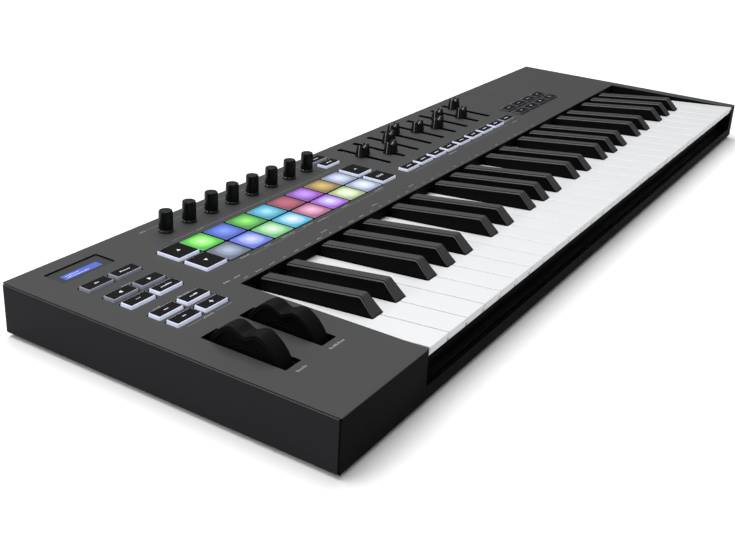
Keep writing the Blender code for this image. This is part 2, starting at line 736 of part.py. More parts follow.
# ---------------------------------------------------------------- wheels
def wheel_outline():
    points = []
    for i in range(WHEEL_STEPS + 1):
        angle = WHEEL_SPAN - 2.0 * WHEEL_SPAN * i / WHEEL_STEPS
        radius = WHEEL_R
        if abs(angle) < WHEEL_SCOOP_HALF:
            radius -= WHEEL_SCOOP * math.cos(math.pi * angle / (2.0 * WHEEL_SCOOP_HALF)) ** 2
        points.append((WHEEL_Y + radius * math.sin(angle), WHEEL_Z + radius * math.cos(angle)))
    points += [(WHEEL_Y - HUB, WHEEL_Z - HUB), (WHEEL_Y + HUB, WHEEL_Z - HUB)]
    return points


def wheels():
    half = WHEEL_W / 2.0
    reach = half + PIN_REACH
    for name, x in zip(("pitch_wheel", "modulation_wheel"), WHEEL_X):
        rim = side(wheel_outline(), x - half, x + half)
        pin = side(circle(WHEEL_Y, WHEEL_Z, PIN_R, 12), x - reach, x + reach)
        finish(name, join(rim, pin), "rubber", (x, WHEEL_Y, WHEEL_Z))
    base = FLOOR_TOP + GAP
    low = base + OVERLAP
    high = WHEEL_Z + POST_RISE
    left, right = WHEEL_X[0] - half - BRACKET_SIDE, WHEEL_X[1] + half + BRACKET_SIDE
    front, back = WHEEL_Y - BRACKET_HALF, WHEEL_Y + BRACKET_HALF
    bodies = [box(left, front, base, right, back, base + BRACKET_THICK)]
    post = [
        (WHEEL_Y - POST_FOOT, low), (WHEEL_Y + POST_FOOT, low), (WHEEL_Y + POST_HEAD, high),
        (WHEEL_Y - POST_HEAD, high),
    ]
    eye = circle(WHEEL_Y, WHEEL_Z, PIN_R + GAP, 12)
    for x in WHEEL_X:
        for edge in (x - half - POST_CLEAR - POST_THICK, x + half + POST_CLEAR):
            bodies.append(side(post, edge, edge + POST_THICK, (eye,)))
    finish("wheel_bracket", join(*bodies), "metal")


# ---------------------------------------------------------------- boards, display and sockets
def control_board():
    z0 = UNDER - CONTROL_BOARD_DROP
    finish("control_circuit_board", slab(CONTROL_BOARD, z0, z0 + BOARD_THICK), "board")


def display():
    x0, y0, x1, y1 = LCD
    finish("display_window", slab(rect(x0 + GAP, y0 + GAP, x1 - GAP, y1 - GAP), *LENS_Z), "glass")
    margin = MODULE_MARGIN
    top = UNDER - GAP
    module = box(x0 - margin, y0 - margin, top - MODULE_THICK, x1 + margin, y1 + margin, top)
    finish("display_module", module, "display")


def socket(name, body, opening, length, kind):
    """A socket behind the rear panel: a body along y with an opening from its rear face."""
    face = SOCKET_FACE
    solid = through(body, face - length[0], face)
    finish(name, cut(solid, through(opening, face - length[1], face + OVERLAP)), kind)


def sockets():
    z = SOCKET_Z
    socket("usb_socket", centred(USB_X, z, *USB_SIZE), centred(USB_X, z, *USB_MOUTH), USB_LENGTH, "metal")
    midi = centred(MIDI_X, z, MIDI_SIZE, MIDI_SIZE)
    socket("midi_socket", midi, circle(MIDI_X, z, MIDI_R, 20), MIDI_LENGTH, "case")
    jack = centred(JACK_X, z, JACK_SIZE, JACK_SIZE)
    socket("sustain_jack", jack, circle(JACK_X, z, JACK_R), JACK_LENGTH, "case")


def clear_scene():
    for obj in list(bpy.data.objects):
        bpy.data.objects.remove(obj)


def main():
    clear_scene()
    bottom_case()
    rear_panel()
    top_panel()
    feet()
    keys()
    key_bed()
    keypads()
    knobs()
    faders()
    wheels()
    control_board()
    display()
    sockets()


main()
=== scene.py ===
import math
import random

import bmesh
import bpy
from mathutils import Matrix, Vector
from mathutils.geometry import delaunay_2d_cdt


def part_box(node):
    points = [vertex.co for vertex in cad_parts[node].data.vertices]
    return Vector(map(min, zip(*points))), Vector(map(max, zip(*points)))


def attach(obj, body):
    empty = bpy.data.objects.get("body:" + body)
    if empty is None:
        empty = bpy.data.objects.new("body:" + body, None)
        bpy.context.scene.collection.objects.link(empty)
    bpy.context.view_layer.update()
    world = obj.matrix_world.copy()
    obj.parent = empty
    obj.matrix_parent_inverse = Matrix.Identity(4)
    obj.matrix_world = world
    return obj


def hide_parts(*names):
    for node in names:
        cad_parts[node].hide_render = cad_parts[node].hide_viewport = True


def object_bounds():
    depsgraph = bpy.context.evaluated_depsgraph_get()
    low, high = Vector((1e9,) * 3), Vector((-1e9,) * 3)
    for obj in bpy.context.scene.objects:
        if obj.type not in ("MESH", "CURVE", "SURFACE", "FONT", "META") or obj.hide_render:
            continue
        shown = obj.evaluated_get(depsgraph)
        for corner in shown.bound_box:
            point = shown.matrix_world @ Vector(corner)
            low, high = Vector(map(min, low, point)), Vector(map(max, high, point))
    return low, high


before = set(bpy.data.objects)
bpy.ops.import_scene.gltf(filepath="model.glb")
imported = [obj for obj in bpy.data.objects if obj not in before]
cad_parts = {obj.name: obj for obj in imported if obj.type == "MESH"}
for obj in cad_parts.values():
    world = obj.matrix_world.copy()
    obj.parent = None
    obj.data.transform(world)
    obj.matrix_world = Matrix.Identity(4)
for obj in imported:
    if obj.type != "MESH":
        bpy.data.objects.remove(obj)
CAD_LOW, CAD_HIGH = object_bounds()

# Lengths are millimetres from the left end (x), the front edge (y) and the resting plane (z) of the CAD box.
MM = 0.001
CASING = "casing"      # the body that every fixed piece rides on
WHEELS = ("pitch_wheel", "modulation_wheel")
FADERS = [f"fader_cap_{i + 1}" for i in range(9)]
KNOBS = [f"knob_{i + 1}" for i in range(8)]


def place(x, y, z):
    return Vector((CAD_LOW.x + x * MM, CAD_LOW.y + y * MM, CAD_LOW.z + z * MM))


def span(node):
    """A CAD node's box in millimetres: lowest x, y, z and highest x, y, z."""
    low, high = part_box(node)
    return tuple((low - CAD_LOW) / MM) + tuple((high - CAD_LOW) / MM)


def centre(box, axes=(0, 1)):
    """The middle of a box from span() or a key's rectangle, along x and y or the axes given."""
    high = len(box) // 2
    return tuple((box[axis] + box[axis + high]) / 2.0 for axis in axes)


WIDTH = (CAD_HIGH.x - CAD_LOW.x) / MM
DEPTH = (CAD_HIGH.y - CAD_LOW.y) / MM
TOP = span("top_panel")[5]
PANEL = 1.8            # thickness of the top panel
UNDER = TOP - PANEL
WALL = 2.5             # thickness of the case walls
CASE_BASE = span("bottom_case")[2]
BLOCK = 90.5           # right side of the block left of the keys
RIGHT = WIDTH - 13.0   # left side of the cheek right of the keys
KEY_BACK = 140.5       # where the panel begins behind the keys
LIP = 0.45             # skin that covers the side grooves
GROOVE = 1.3           # from the top or front face to the side plate
PLATE = 0.85           # thickness of the side plates
GRID = 24.35           # spacing of the pads and of the button rows
SHEET_MARGIN = 0.6     # silicone sheet beyond its outermost keys
CLEAR = 0.35           # gap round every pad and button

# Each keypad's columns, its rows, and the width and depth of a key.
KEYPADS = {
    "drum_pads": ([i * GRID for i in range(8)], (0.0, 24.3), 22.9, 22.9),
    "scene_buttons_left": ((0.0,), (0.0, 24.6), 21.0, 21.0),
    "scene_buttons_right": ((0.0,), (0.0, 24.6), 21.0, 21.0),
    "menu_buttons": ((0.0, 24.4), (0.0, 14.5, 37.4, 52.0, 73.2), 21.3, 10.2),
    "device_buttons": ((0.0,), (0.0, 13.8), 21.3, 10.2),
    "fader_buttons": ([i * GRID for i in range(9)], (0.0,), 21.3, 10.2),
    "transport_buttons": ([i * GRID for i in range(4)], (0.0, 14.7), 21.3, 10.2),
}


def key_places(node):
    """The (x0, y0, x1, y1) of every key of a silicone keypad, row by row from the front left."""
    xs, ys, width, depth = KEYPADS[node]
    low = span(node)
    x0, y0 = low[0] + SHEET_MARGIN, low[1] + SHEET_MARGIN
    return [(x0 + x, y0 + y, x0 + x + width, y0 + y + depth) for y in ys for x in xs]


# ---------------------------------------------------------------- outlines
def rect(x0, y0, x1, y1, gap=0.0):
    """A rectangle's corners, moved outwards by a gap."""
    return [(x0 - gap, y0 - gap), (x1 + gap, y0 - gap), (x1 + gap, y1 + gap), (x0 - gap, y1 + gap)]


def footprint(box, gap=0.0):
    """A box from span(), seen from above."""
    return rect(box[0], box[1], box[3], box[4], gap)


def circle(x, y, radius, count, start=0.0):
    """A regular polygon whose first corner is at an angle of start degrees."""
    angles = [math.radians(start) + 2.0 * math.pi * i / count for i in range(count)]
    return [(x + radius * math.cos(angle), y + radius * math.sin(angle)) for angle in angles]


def curve(start, corner, end, steps):
    """Points on a curve that leaves start and reaches end along the corner's two sides."""
    result = []
    for k in range(steps + 1):
        t = k / steps
        point = start * (1 - t) ** 2 + corner * 2 * t * (1 - t) + end * t * t
        result.append((point.x, point.y))
    return result


def rounded(points, radius, steps=3):
    """A polygon with each corner replaced by a short curve."""
    result = []
    count = len(points)
    for i in range(count):
        here = Vector(points[i])
        before = Vector(points[i - 1]) - here
        after = Vector(points[(i + 1) % count]) - here
        reach = min(radius, before.length * 0.45, after.length * 0.45)
        result += curve(here + before.normalized() * reach, here, here + after.normalized() * reach, steps)
    return result


def area(points):
    """Positive where the points run anticlockwise."""
    return sum(a[0] * b[1] - b[0] * a[1] for a, b in zip(points, points[1:] + points[:1])) / 2.0


def convex(points):
    for a, b, c in zip(points, points[1:] + points[:1], points[2:] + points[:2]):
        if (b[0] - a[0]) * (c[1] - b[1]) - (b[1] - a[1]) * (c[0] - b[0]) < -1e-9:
            return False
    return True


def inset(points, distance):
    """The polygon moved inwards by a distance, with mitred corners. Points run anticlockwise."""
    if abs(distance) < 1e-9:
        return list(points)
    result = []
    count = len(points)
    for i in range(count):
        before = (Vector(points[i]) - Vector(points[i - 1])).normalized()
        after = (Vector(points[(i + 1) % count]) - Vector(points[i])).normalized()
        bisector = Vector((-before.y - after.y, before.x + after.x))
        scale = distance * 2.0 / max(bisector.length_squared, 0.4)
        result.append((points[i][0] + bisector.x * scale, points[i][1] + bisector.y * scale))
    return result


def inside(u, v, loops):
    """Whether a point is in the outline and in none of its holes."""
    hit = False
    for loop in loops:
        for (u0, v0), (u1, v1) in zip(loop, loop[1:] + loop[:1]):
            if (v0 > v) != (v1 > v) and u < u0 + (v - v0) * (u1 - u0) / (v1 - v0):
                hit = not hit
    return hit


def triangles(loops):
    """Triangles that fill an outline around its holes, as indices into the loops' points."""
    points = [Vector(point) for loop in loops for point in loop]
    edges = []
    for loop in loops:
        start = len(edges)
        edges += [(start + i, start + (i + 1) % len(loop)) for i in range(len(loop))]
    placed, _, faces, source, _, _ = delaunay_2d_cdt(points, edges, [], 1, 1e-5)
    kept = []
    for face in faces:
        middle = sum((placed[i] for i in face), Vector((0.0, 0.0))) / len(face)
        if inside(middle.x, middle.y, loops):
            kept.append([source[i][0] for i in face])
    return kept


# ---------------------------------------------------------------- shapes
SEGMENTS = 48          # sides of a turned piece


class Shape:
    """Points in millimetres and the faces between them; each face carries a material number."""

    def __init__(self):
        self.points = []
        self.faces = []

    def loft(self, rings, mark=0, ends=None, sides=None):
        """Skin between rings of equal length, with both ends filled.

        ends gives the end faces their own materials, with None for an open end, and sides does so for
        each side of a ring.
        """
        size = len(rings[0])
        start = len(self.points)
        self.points += [tuple(point) for ring in rings for point in ring]
        for low in range(start, len(self.points) - size, size):
            for i in range(size):
                j = (i + 1) % size
                face = [low + i, low + j, low + size + j, low + size + i]
                self.faces.append((face, sides[i] if sides else mark))
        first, last = ends or (mark, mark)
        if first is not None:
            self.faces.append((list(reversed(range(start, start + size))), first))
        if last is not None:
            self.faces.append((list(range(len(self.points) - size, len(self.points))), last))
        return self

    def plate(self, outline, z0, z1, top=0.0, bottom=0.0, holes=(), steps=3, turn=None, mark=0,
              wall_mark=None, floor=True, lid=True):
        """A slab with rounded upper and lower edges. turn maps (u, v, w) to (x, y, z).

        Hole walls carry wall_mark where one is given; floor and lid say which end is closed.
        """
        turn = turn or (lambda u, v, w: (u, v, w))
        loops = [(outline if area(outline) > 0 else outline[::-1], 1.0)]
        loops += [(hole if area(hole) > 0 else hole[::-1], -1.0) for hole in holes]
        angles = [math.pi / 2.0 * i / steps for i in range(steps + 1)]
        lower = [(z0 + bottom * (1.0 - math.cos(a)), bottom * (1.0 - math.sin(a))) for a in angles]
        upper = [(z1 - top + top * math.sin(a), top * (1.0 - math.cos(a))) for a in angles]
        levels = (lower if bottom else lower[:1]) + (upper if top else upper[:1])
        start = len(self.points)
        sizes = [len(loop) for loop, _ in loops]
        total = sum(sizes)
        for z, distance in levels:
            for loop, sign in loops:
                self.points += [turn(u, v, z) for u, v in inset(loop, sign * distance)]
        for k in range(len(levels) - 1):
            first = start + k * total
            for size, (_, sign) in zip(sizes, loops):
                side = mark if wall_mark is None or sign > 0 else wall_mark
                for i in range(size):
                    j = (i + 1) % size
                    self.faces.append(([first + i, first + j, first + total + j, first + total + i], side))
                first += size
        last = start + (len(levels) - 1) * total
        whole = len(loops) == 1 and convex(loops[0][0])
        for face in [list(range(total))] if whole else triangles([loop for loop, _ in loops]):
            if floor:
                self.faces.append(([start + i for i in reversed(face)], mark))
            if lid:
                self.faces.append(([last + i for i in face], mark))
        return self

    def block(self, x0, y0, z0, x1, y1, z1, edge=0.0, mark=0):
        return self.plate(rect(x0, y0, x1, y1), z0, z1, edge, edge, steps=2, mark=mark)

    def stack(self, layers, mark=0, ends=None):
        """Skin between outlines at different heights; layers are (z, outline)."""
        return self.loft([[(u, v, z) for u, v in outline] for z, outline in layers], mark, ends)

    def turned(self, profile, x, y):
        """A solid of revolution about the vertical; profile is (radius, z), bottom to top."""
        return self.stack([(z, circle(x, y, radius, SEGMENTS)) for radius, z in profile])


def along_x(u, v, w):
    return w, u, v


def along_y(u, v, w):
    return u, w, v


def piece(name, shape, body, materials, replaces=(), angle=32.0, origin=None, flat=False):
    """Make a named piece from a shape, riding on a CAD body.

    Edges sharper than angle stay sharp; flat leaves every edge so. origin moves the object's own origin,
    from which its material is laid out.
    """
    bm = bmesh.new()
    corner = place(*origin) if origin else Vector((0.0, 0.0, 0.0))
    verts = [bm.verts.new(place(*point) - corner) for point in shape.points]
    same = 1e-7            # metres between points that are one
    for indices, mark in shape.faces:
        face = bm.faces.new([verts[i] for i in indices])
        face.material_index = mark
    bmesh.ops.remove_doubles(bm, verts=bm.verts, dist=same)
    bmesh.ops.dissolve_degenerate(bm, edges=bm.edges, dist=same)
    bmesh.ops.recalc_face_normals(bm, faces=bm.faces)
    mesh = bpy.data.meshes.new(name)
    bm.to_mesh(mesh)
    bm.free()
    for material in materials if isinstance(materials, (list, tuple)) else [materials]:
        mesh.materials.append(material)
    if not flat:
        mesh.shade_smooth()
        mesh.set_sharp_from_angle(angle=math.radians(angle))
    obj = bpy.data.objects.new(name, mesh)
    obj.location = corner
    bpy.context.scene.collection.objects.link(obj)
    if not flat:
        weighted = obj.modifiers.new("even shading", "WEIGHTED_NORMAL")
        weighted.keep_sharp = True
    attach(obj, body)
    if replaces:
        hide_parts(*replaces)
    return obj


# ---------------------------------------------------------------- materials
class Nodes:
    """A material and short ways to add nodes to it."""

    def __init__(self, name):
        self.material = bpy.data.materials.new(name)
        self.material.use_nodes = True
        self.tree = self.material.node_tree
        self.shader = self.tree.nodes["Principled BSDF"]

    def new(self, kind, **values):
        """Add a node and set its own settings or, by name, its sockets."""
        node = self.tree.nodes.new(kind)
        for key, value in values.items():
            if hasattr(node, key):
                setattr(node, key, value)
            else:
                node.inputs[key.replace("_", " ")].default_value = value
        return node

    def link(self, a, b):
        self.tree.links.new(a, b)

    def feed(self, socket, source):
        self.link(source, self.shader.inputs[socket])

    def position(self):
        return self.new("ShaderNodeTexCoord").outputs["Object"]

    def noise(self, source, size, detail=3.0, rough=0.55):
        """Noise whose blobs are about size millimetres across."""
        node = self.new("ShaderNodeTexNoise", Scale=1.0 / (size * MM), Detail=detail, Roughness=rough)
        self.link(source, node.inputs["Vector"])
        return node.outputs["Fac"]

    def ramp(self, source, stops):
        node = self.new("ShaderNodeValToRGB")
        elements = node.color_ramp.elements
        while len(elements) < len(stops):
            elements.new(0.5)
        for element, (at, colour) in zip(elements, stops):
            element.position = at
            element.color = (*colour, 1.0)
        self.link(source, node.inputs["Fac"])
        return node.outputs["Color"]

    def math(self, operation, a, b=None):
        node = self.new("ShaderNodeMath", operation=operation)
        for socket, value in zip(node.inputs, (a, b)):
            if isinstance(value, (int, float)):
                socket.default_value = value
            elif value is not None:
                self.link(value, socket)
        return node.outputs["Value"]

    def spread(self, source, low, high):
        """Noise, which lies mostly between 0.25 and 0.75, brought to a range."""
        node = self.new("ShaderNodeMapRange", From_Min=0.25, From_Max=0.75, To_Min=low, To_Max=high)
        self.link(source, node.inputs["Value"])
        return node.outputs["Result"]

    def bump(self, height, depth):
        """Relief of a given depth in millimetres, feeding the shader's normal."""
        node = self.new("ShaderNodeBump", Strength=1.0, Distance=depth * MM)
        self.link(height, node.inputs["Height"])
        self.feed("Normal", node.outputs["Normal"])

    def set(self, **values):
        """Set the shader's own sockets."""
        for key, value in values.items():
            socket = self.shader.inputs[key.replace("_", " ")]
            socket.default_value = (*value, 1.0) if isinstance(value, tuple) else value


def shade(colour, factor):
    """A colour made brighter or darker."""
    return tuple(min(1.0, channel * factor) for channel in colour)


def grained(name, colour, rough, grain, depth, mottle, coat=0.0, level=0.5):
    """Moulded or painted surface: fine grain in relief, cloudy colour and patchy gloss.

    grain and depth are the grain's size and relief in millimetres; mottle is the share by which the
    colour varies, and level is the shader's specular level.
    """
    cloud = 28.0
    m = Nodes(name)
    at = m.position()
    fine = m.noise(at, grain, 2.0)
    broad = m.noise(at, cloud, 4.0)
    both = m.math("ADD", m.math("MULTIPLY", fine, 0.45), m.math("MULTIPLY", broad, 0.55))
    tint = m.ramp(both, [(0.3, shade(colour, 1.0 - mottle)), (0.7, shade(colour, 1.0 + mottle))])
    m.feed("Base Color", tint)
    m.feed("Roughness", m.spread(both, rough - 0.06, rough + 0.06))
    m.bump(fine, depth)
    m.set(Metallic=0.0, Coat_Weight=coat, Coat_Roughness=0.12, Specular_IOR_Level=level)
    return m.material


def brushed(name, colour, rough):
    """Rolled steel: fine streaks along x in colour, gloss and relief."""
    m = Nodes(name)
    stretch = m.new("ShaderNodeMapping", Scale=(0.03, 1.0, 1.0))
    m.link(m.position(), stretch.inputs["Vector"])
    streak = m.noise(stretch.outputs["Vector"], 0.5, 4.0)
    m.feed("Base Color", m.ramp(streak, [(0.3, shade(colour, 0.8)), (0.7, colour)]))
    m.feed("Roughness", m.spread(streak, rough - 0.08, rough + 0.1))
    m.bump(streak, 0.006)
    m.set(Metallic=1.0)
    return m.material


def circuit(name):
    """Green solder mask over copper tracks, with tinned dots."""
    m = Nodes(name)
    at = m.position()
    tracks = m.new(
        "ShaderNodeTexBrick", offset=0.37, squash=0.6, Scale=90.0, Mortar_Size=0.05,
        Color1=(0.012, 0.095, 0.04, 1.0), Color2=(0.016, 0.115, 0.05, 1.0), Mortar=(0.05, 0.24, 0.1, 1.0),
    )
    m.link(at, tracks.inputs["Vector"])
    dots = m.new("ShaderNodeTexVoronoi", Scale=240.0)
    m.link(at, dots.inputs["Vector"])
    dot = m.math("LESS_THAN", dots.outputs["Distance"], 0.16)
    mix = m.new("ShaderNodeMix", data_type="RGBA")
    m.link(dot, mix.inputs["Factor"])
    m.link(tracks.outputs["Color"], mix.inputs["A"])
    mix.inputs["B"].default_value = (0.62, 0.62, 0.6, 1.0)
    m.feed("Base Color", mix.outputs["Result"])
    m.bump(tracks.outputs["Fac"], 0.03)
    m.set(Roughness=0.35)
    return m.material


def felt(name, colour):
    """Pressed fibres, dull and soft."""
    m = Nodes(name)
    fibre = m.noise(m.position(), 0.4, 6.0, 0.7)
    m.feed("Base Color", m.ramp(fibre, [(0.3, shade(colour, 0.6)), (0.75, shade(colour, 1.3))]))
    m.bump(fibre, 0.2)
    m.set(Roughness=0.95, Sheen_Weight=0.6)
    return m.material


def silicone(name, colour, glow, strength):
    """Translucent silicone lit from below: milky, with a fine moulded grain."""
    m = Nodes(name)
    at = m.position()
    fine = m.noise(at, 0.3, 2.0)
    cloud = m.noise(at, 5.0, 3.0)
    m.feed("Base Color", m.ramp(cloud, [(0.3, shade(colour, 0.9)), (0.7, shade(colour, 1.06))]))
    m.feed("Emission Color", m.ramp(cloud, [(0.25, shade(glow, 0.8)), (0.75, glow)]))
    m.feed("Roughness", m.spread(fine, 0.42, 0.58))
    m.bump(fine, 0.008)
    m.set(Emission_Strength=strength)
    return m.material


def lit_pad(name, centre, middle, edge, half, strength):
    """A drum pad lit from its middle: rings of colour that fade towards the pad's edge."""
    m = Nodes(name)
    at = m.position()
    split = m.new("ShaderNodeSeparateXYZ")
    m.link(at, split.inputs["Vector"])
    across = m.math("ABSOLUTE", m.math("DIVIDE", split.outputs["X"], half * MM))
    along = m.math("ABSOLUTE", m.math("DIVIDE", split.outputs["Y"], half * MM))
    bend = 2.6             # 2 would give round rings of light, and a high number square ones
    square = m.math("ADD", m.math("POWER", across, bend), m.math("POWER", along, bend))
    distance = m.math("POWER", square, 1.0 / bend)
    speckle = m.noise(at, 0.7, 3.0, 0.7)
    cloud = m.noise(at, 6.0, 2.0)
    wander = m.math("ADD", m.math("MULTIPLY", speckle, 0.10), m.math("MULTIPLY", cloud, 0.12))
    reach = m.math("ADD", distance, m.math("SUBTRACT", wander, 0.11))
    stops = [
        (0.0, centre), (0.2, centre), (0.48, middle), (0.6, shade(middle, 0.97)), (0.82, edge),
        (1.0, shade(edge, 0.78)),
    ]
    m.feed("Base Color", m.ramp(reach, [(stop, shade(colour, 0.42)) for stop, colour in stops]))
    m.feed("Emission Color", m.ramp(reach, stops))
    m.feed("Roughness", m.spread(speckle, 0.45, 0.6))
    m.bump(speckle, 0.01)
    m.set(Emission_Strength=strength)
    return m.material


def screen(name, colour, strength):
    """A lit liquid crystal panel with its grid of dots."""
    m = Nodes(name)
    grid = m.new(
        "ShaderNodeTexBrick", offset=0.0, Scale=1500.0, Brick_Width=0.5, Row_Height=0.5, Mortar_Size=0.04,
        Color1=(*colour, 1.0), Color2=(*shade(colour, 0.96), 1.0), Mortar=(*shade(colour, 0.78), 1.0),
    )
    m.link(m.position(), grid.inputs["Vector"])
    m.feed("Base Color", grid.outputs["Color"])
    m.feed("Emission Color", grid.outputs["Color"])
    m.set(Emission_Strength=strength, Roughness=0.3)
    return m.material


def make_materials():
    return {
        "panel": grained("panel satin", (0.047, 0.0475, 0.048), 0.58, 0.3, 0.012, 0.06, level=0.16),
        # case is a much darker copy of the panel plastic: painted shade on the front, inside the case, under
        # the panel lip and behind the keys.
        "case": grained("case plastic darkened as painted shade", (0.0028, 0.0028, 0.0032), 0.62, 0.4, 0.02, 0.12, level=0.025),
        # end, for the side plates, is a darker copy of the panel plastic: painted shade on the ends.
        "end": grained("side plate plastic darkened as painted shade", (0.0135, 0.0135, 0.0155), 0.55, 0.4, 0.018, 0.1, level=0.05),
        "white": grained("white key", (0.655, 0.665, 0.68), 0.34, 2.0, 0.0003, 0.005, 0.2, level=0.4),
        # A darker copy of the key white for the walls between keys: painted shade in the gaps.
        "white_side_painted_shade": grained("white key side darkened as painted shade", (0.34, 0.345, 0.355), 0.5, 2.0, 0.0004, 0.01, level=0.2),
        "black": grained("black key", (0.003, 0.003, 0.0035), 0.42, 0.3, 0.005, 0.15, level=0.04),
        "black_top": grained("black key top", (0.044, 0.044, 0.045), 0.5, 0.25, 0.012, 0.1, level=0.14),
        # Lighter than the key tops: a painted highlight on the black keys' chamfers and on the side plates'
        # upper bevels.
        "edge_painted_highlight": grained("black key edge, painted highlight", (0.075, 0.075, 0.077), 0.4, 0.25, 0.008, 0.1, level=0.3),
        "knob": grained("knob plastic", (0.004, 0.004, 0.0045), 0.3, 0.4, 0.006, 0.15, 0.12, level=0.14),
        "collar": grained("knob collar", (0.003, 0.003, 0.0035), 0.14, 0.6, 0.001, 0.15, 1.0, level=0.5),
        "fader": grained("fader plastic", (0.012, 0.012, 0.0125), 0.5, 0.4, 0.01, 0.15, level=0.06),
        "line": grained("pale line paint", (0.26, 0.265, 0.27), 0.5, 0.3, 0.01, 0.06),
        "print": grained("panel print", (0.24, 0.245, 0.25), 0.55, 0.25, 0.006, 0.12, level=0.15),
        "rubber": grained("wheel rubber", (0.0035, 0.0035, 0.004), 0.55, 0.35, 0.012, 0.15, level=0.06),
        "foot": grained("foot rubber", (0.015, 0.015, 0.016), 0.8, 0.5, 0.03, 0.15, level=0.2),
        "mat": grained("pad mat", (0.009, 0.009, 0.010), 0.6, 0.3, 0.01, 0.1, level=0.05),
        "cap": grained("button cap", (0.006, 0.006, 0.0065), 0.5, 0.25, 0.006, 0.15, level=0.04),
        "window": grained("display surround", (0.028, 0.031, 0.032), 0.32, 0.3, 0.004, 0.06, level=0.25),
        "contact": grained("contact silicone", (0.02, 0.02, 0.022), 0.7, 0.4, 0.02, 0.12, level=0.2),
        "socket": grained("socket plastic", (0.012, 0.012, 0.013), 0.45, 0.3, 0.01, 0.1, level=0.25),
        "painted": grained("painted steel", (0.008, 0.008, 0.009), 0.5, 0.5, 0.02, 0.15, level=0.08),
        "steel": brushed("rolled steel", (0.6, 0.61, 0.62), 0.36),
        "nickel": brushed("nickel plate", (0.7, 0.69, 0.67), 0.25),
        "board": circuit("circuit board"),
        "felt": felt("stop felt", (0.012, 0.011, 0.012)),
        "dust": felt("dust strip felt", (0.006, 0.006, 0.006)),
        "lit": silicone("lit silicone", (0.46, 0.49, 0.58), (0.72, 0.77, 0.98), 0.46),
        "dim": silicone("dim silicone", (0.24, 0.25, 0.29), (0.45, 0.5, 0.7), 0.12),
        # Unlit silicone still emits a little: a painted glow.
        "off": silicone("unlit silicone with painted glow", (0.05, 0.052, 0.058), (0.3, 0.33, 0.45), 0.03),
        "glyph": silicone("lit mark", (0.6, 0.61, 0.65), (0.85, 0.88, 1.0), 0.22),
        # Pale marks on unlit buttons, which also emit a little: pale print with a painted glow.
        "faint": silicone("faint mark with painted glow", (0.35, 0.36, 0.4), (0.4, 0.42, 0.5), 0.1),
        "lcd": screen("display screen", (0.05, 0.085, 0.40), 0.5),
        "lcd_ink": silicone("display dots", (0.3, 0.35, 0.7), (0.5, 0.55, 1.0), 0.45),
    }


M = make_materials()
rng = random.Random(7)


# ---------------------------------------------------------------- casing
def case_shell():
    """The case's two ends, the skin in front of each side groove, the floor and the rail under the keys."""
    left_x, right_x = PLATE, WIDTH - PLATE
    left = [
        (left_x, 0.0), (BLOCK, 0.0), (BLOCK, KEY_BACK), (BLOCK - WALL, KEY_BACK), (BLOCK - WALL, WALL),
        (left_x + WALL, WALL), (left_x + WALL, DEPTH), (left_x, DEPTH),
    ]
    right = [
        (RIGHT, 0.0), (right_x, 0.0), (right_x, DEPTH), (right_x - WALL, DEPTH), (right_x - WALL, WALL),
        (RIGHT + WALL, WALL), (RIGHT + WALL, KEY_BACK), (RIGHT, KEY_BACK),
    ]
    shape = Shape()
    for outline in (left, right):
        shape.plate(rounded(outline, 0.7), CASE_BASE, UNDER, 0.0, 0.4)
    inwards = PLATE + 0.4
    for x0, x1 in ((0.0, inwards), (WIDTH - inwards, WIDTH)):
        shape.plate(rounded(rect(x0, 0.0, x1, LIP), 0.2), CASE_BASE, UNDER)
    setback, sunk = 0.4, 0.2
    floor_top = CASE_BASE + WALL - sunk
    shape.block(left_x, setback, CASE_BASE - sunk, right_x, DEPTH - setback, floor_top, 0.3)
    rail_top, rail_back = 12.4, 3.6
    shape.block(BLOCK - 1.0, 0.25, CASE_BASE + 0.1, RIGHT + 1.0, rail_back, rail_top, 0.55)
    # The case material is the darker copy of the panel plastic: painted shade on the front walls, the floor
    # and the rail.
    piece("case_shell", shape, CASING, M["case"], ("bottom_case",))


def side_plates():
    """The plate set into each end, behind a groove along its top and front edges; faces near its top take a
    lighter colour as a painted highlight, and the rest a darker copy of the panel plastic as painted shade.
    """
    edge = 0.4
    painted_highlight_above = TOP - GROOVE - 0.5
    for name, x0, x1 in (("side_plate_left", 0.0, PLATE), ("side_plate_right", WIDTH - PLATE, WIDTH)):
        outline = rounded(rect(GROOVE, CASE_BASE, DEPTH, TOP - GROOVE), 0.8)
        shape = Shape().plate(outline, x0, x1, edge, edge, turn=along_x)
        high = [all(shape.points[i][2] > painted_highlight_above for i in face) for face, _ in shape.faces]
        shape.faces = [(face, int(upper)) for (face, _), upper in zip(shape.faces, high)]
        piece(name, shape, CASING, [M["end"], M["edge_painted_highlight"]])


def panel_holes():
    """Every opening in the panel, as closed outlines."""
    pads = key_places("drum_pads")
    holes = [(rect(*pads[0][:2], *pads[-1][2:], CLEAR), 1.2)]
    for node in KEYPADS:
        if node != "drum_pads":
            holes += [(rect(*key, CLEAR), 1.0) for key in key_places(node)]
    holes.append((footprint(span("display_window"), 0.3), 0.8))
    bank = span("fader_bank")
    slot = 3.0             # half a fader slot's width
    for name in FADERS:
        x, _ = centre(span(name))
        holes.append((rect(x - slot, bank[1] + 1.0, x + slot, bank[4] - 4.0), 2.1))
    wide, long = 7.0, 30.5
    for node in WHEELS:
        x, y = centre(span(node))
        holes.append((rect(x - wide, y - long, x + wide, y + long), 0.8))
    loops = [rounded(points, radius) for points, radius in holes]
    shaft = 3.6
    return loops + [circle(*centre(span(name)), shaft, 20) for name in KNOBS]


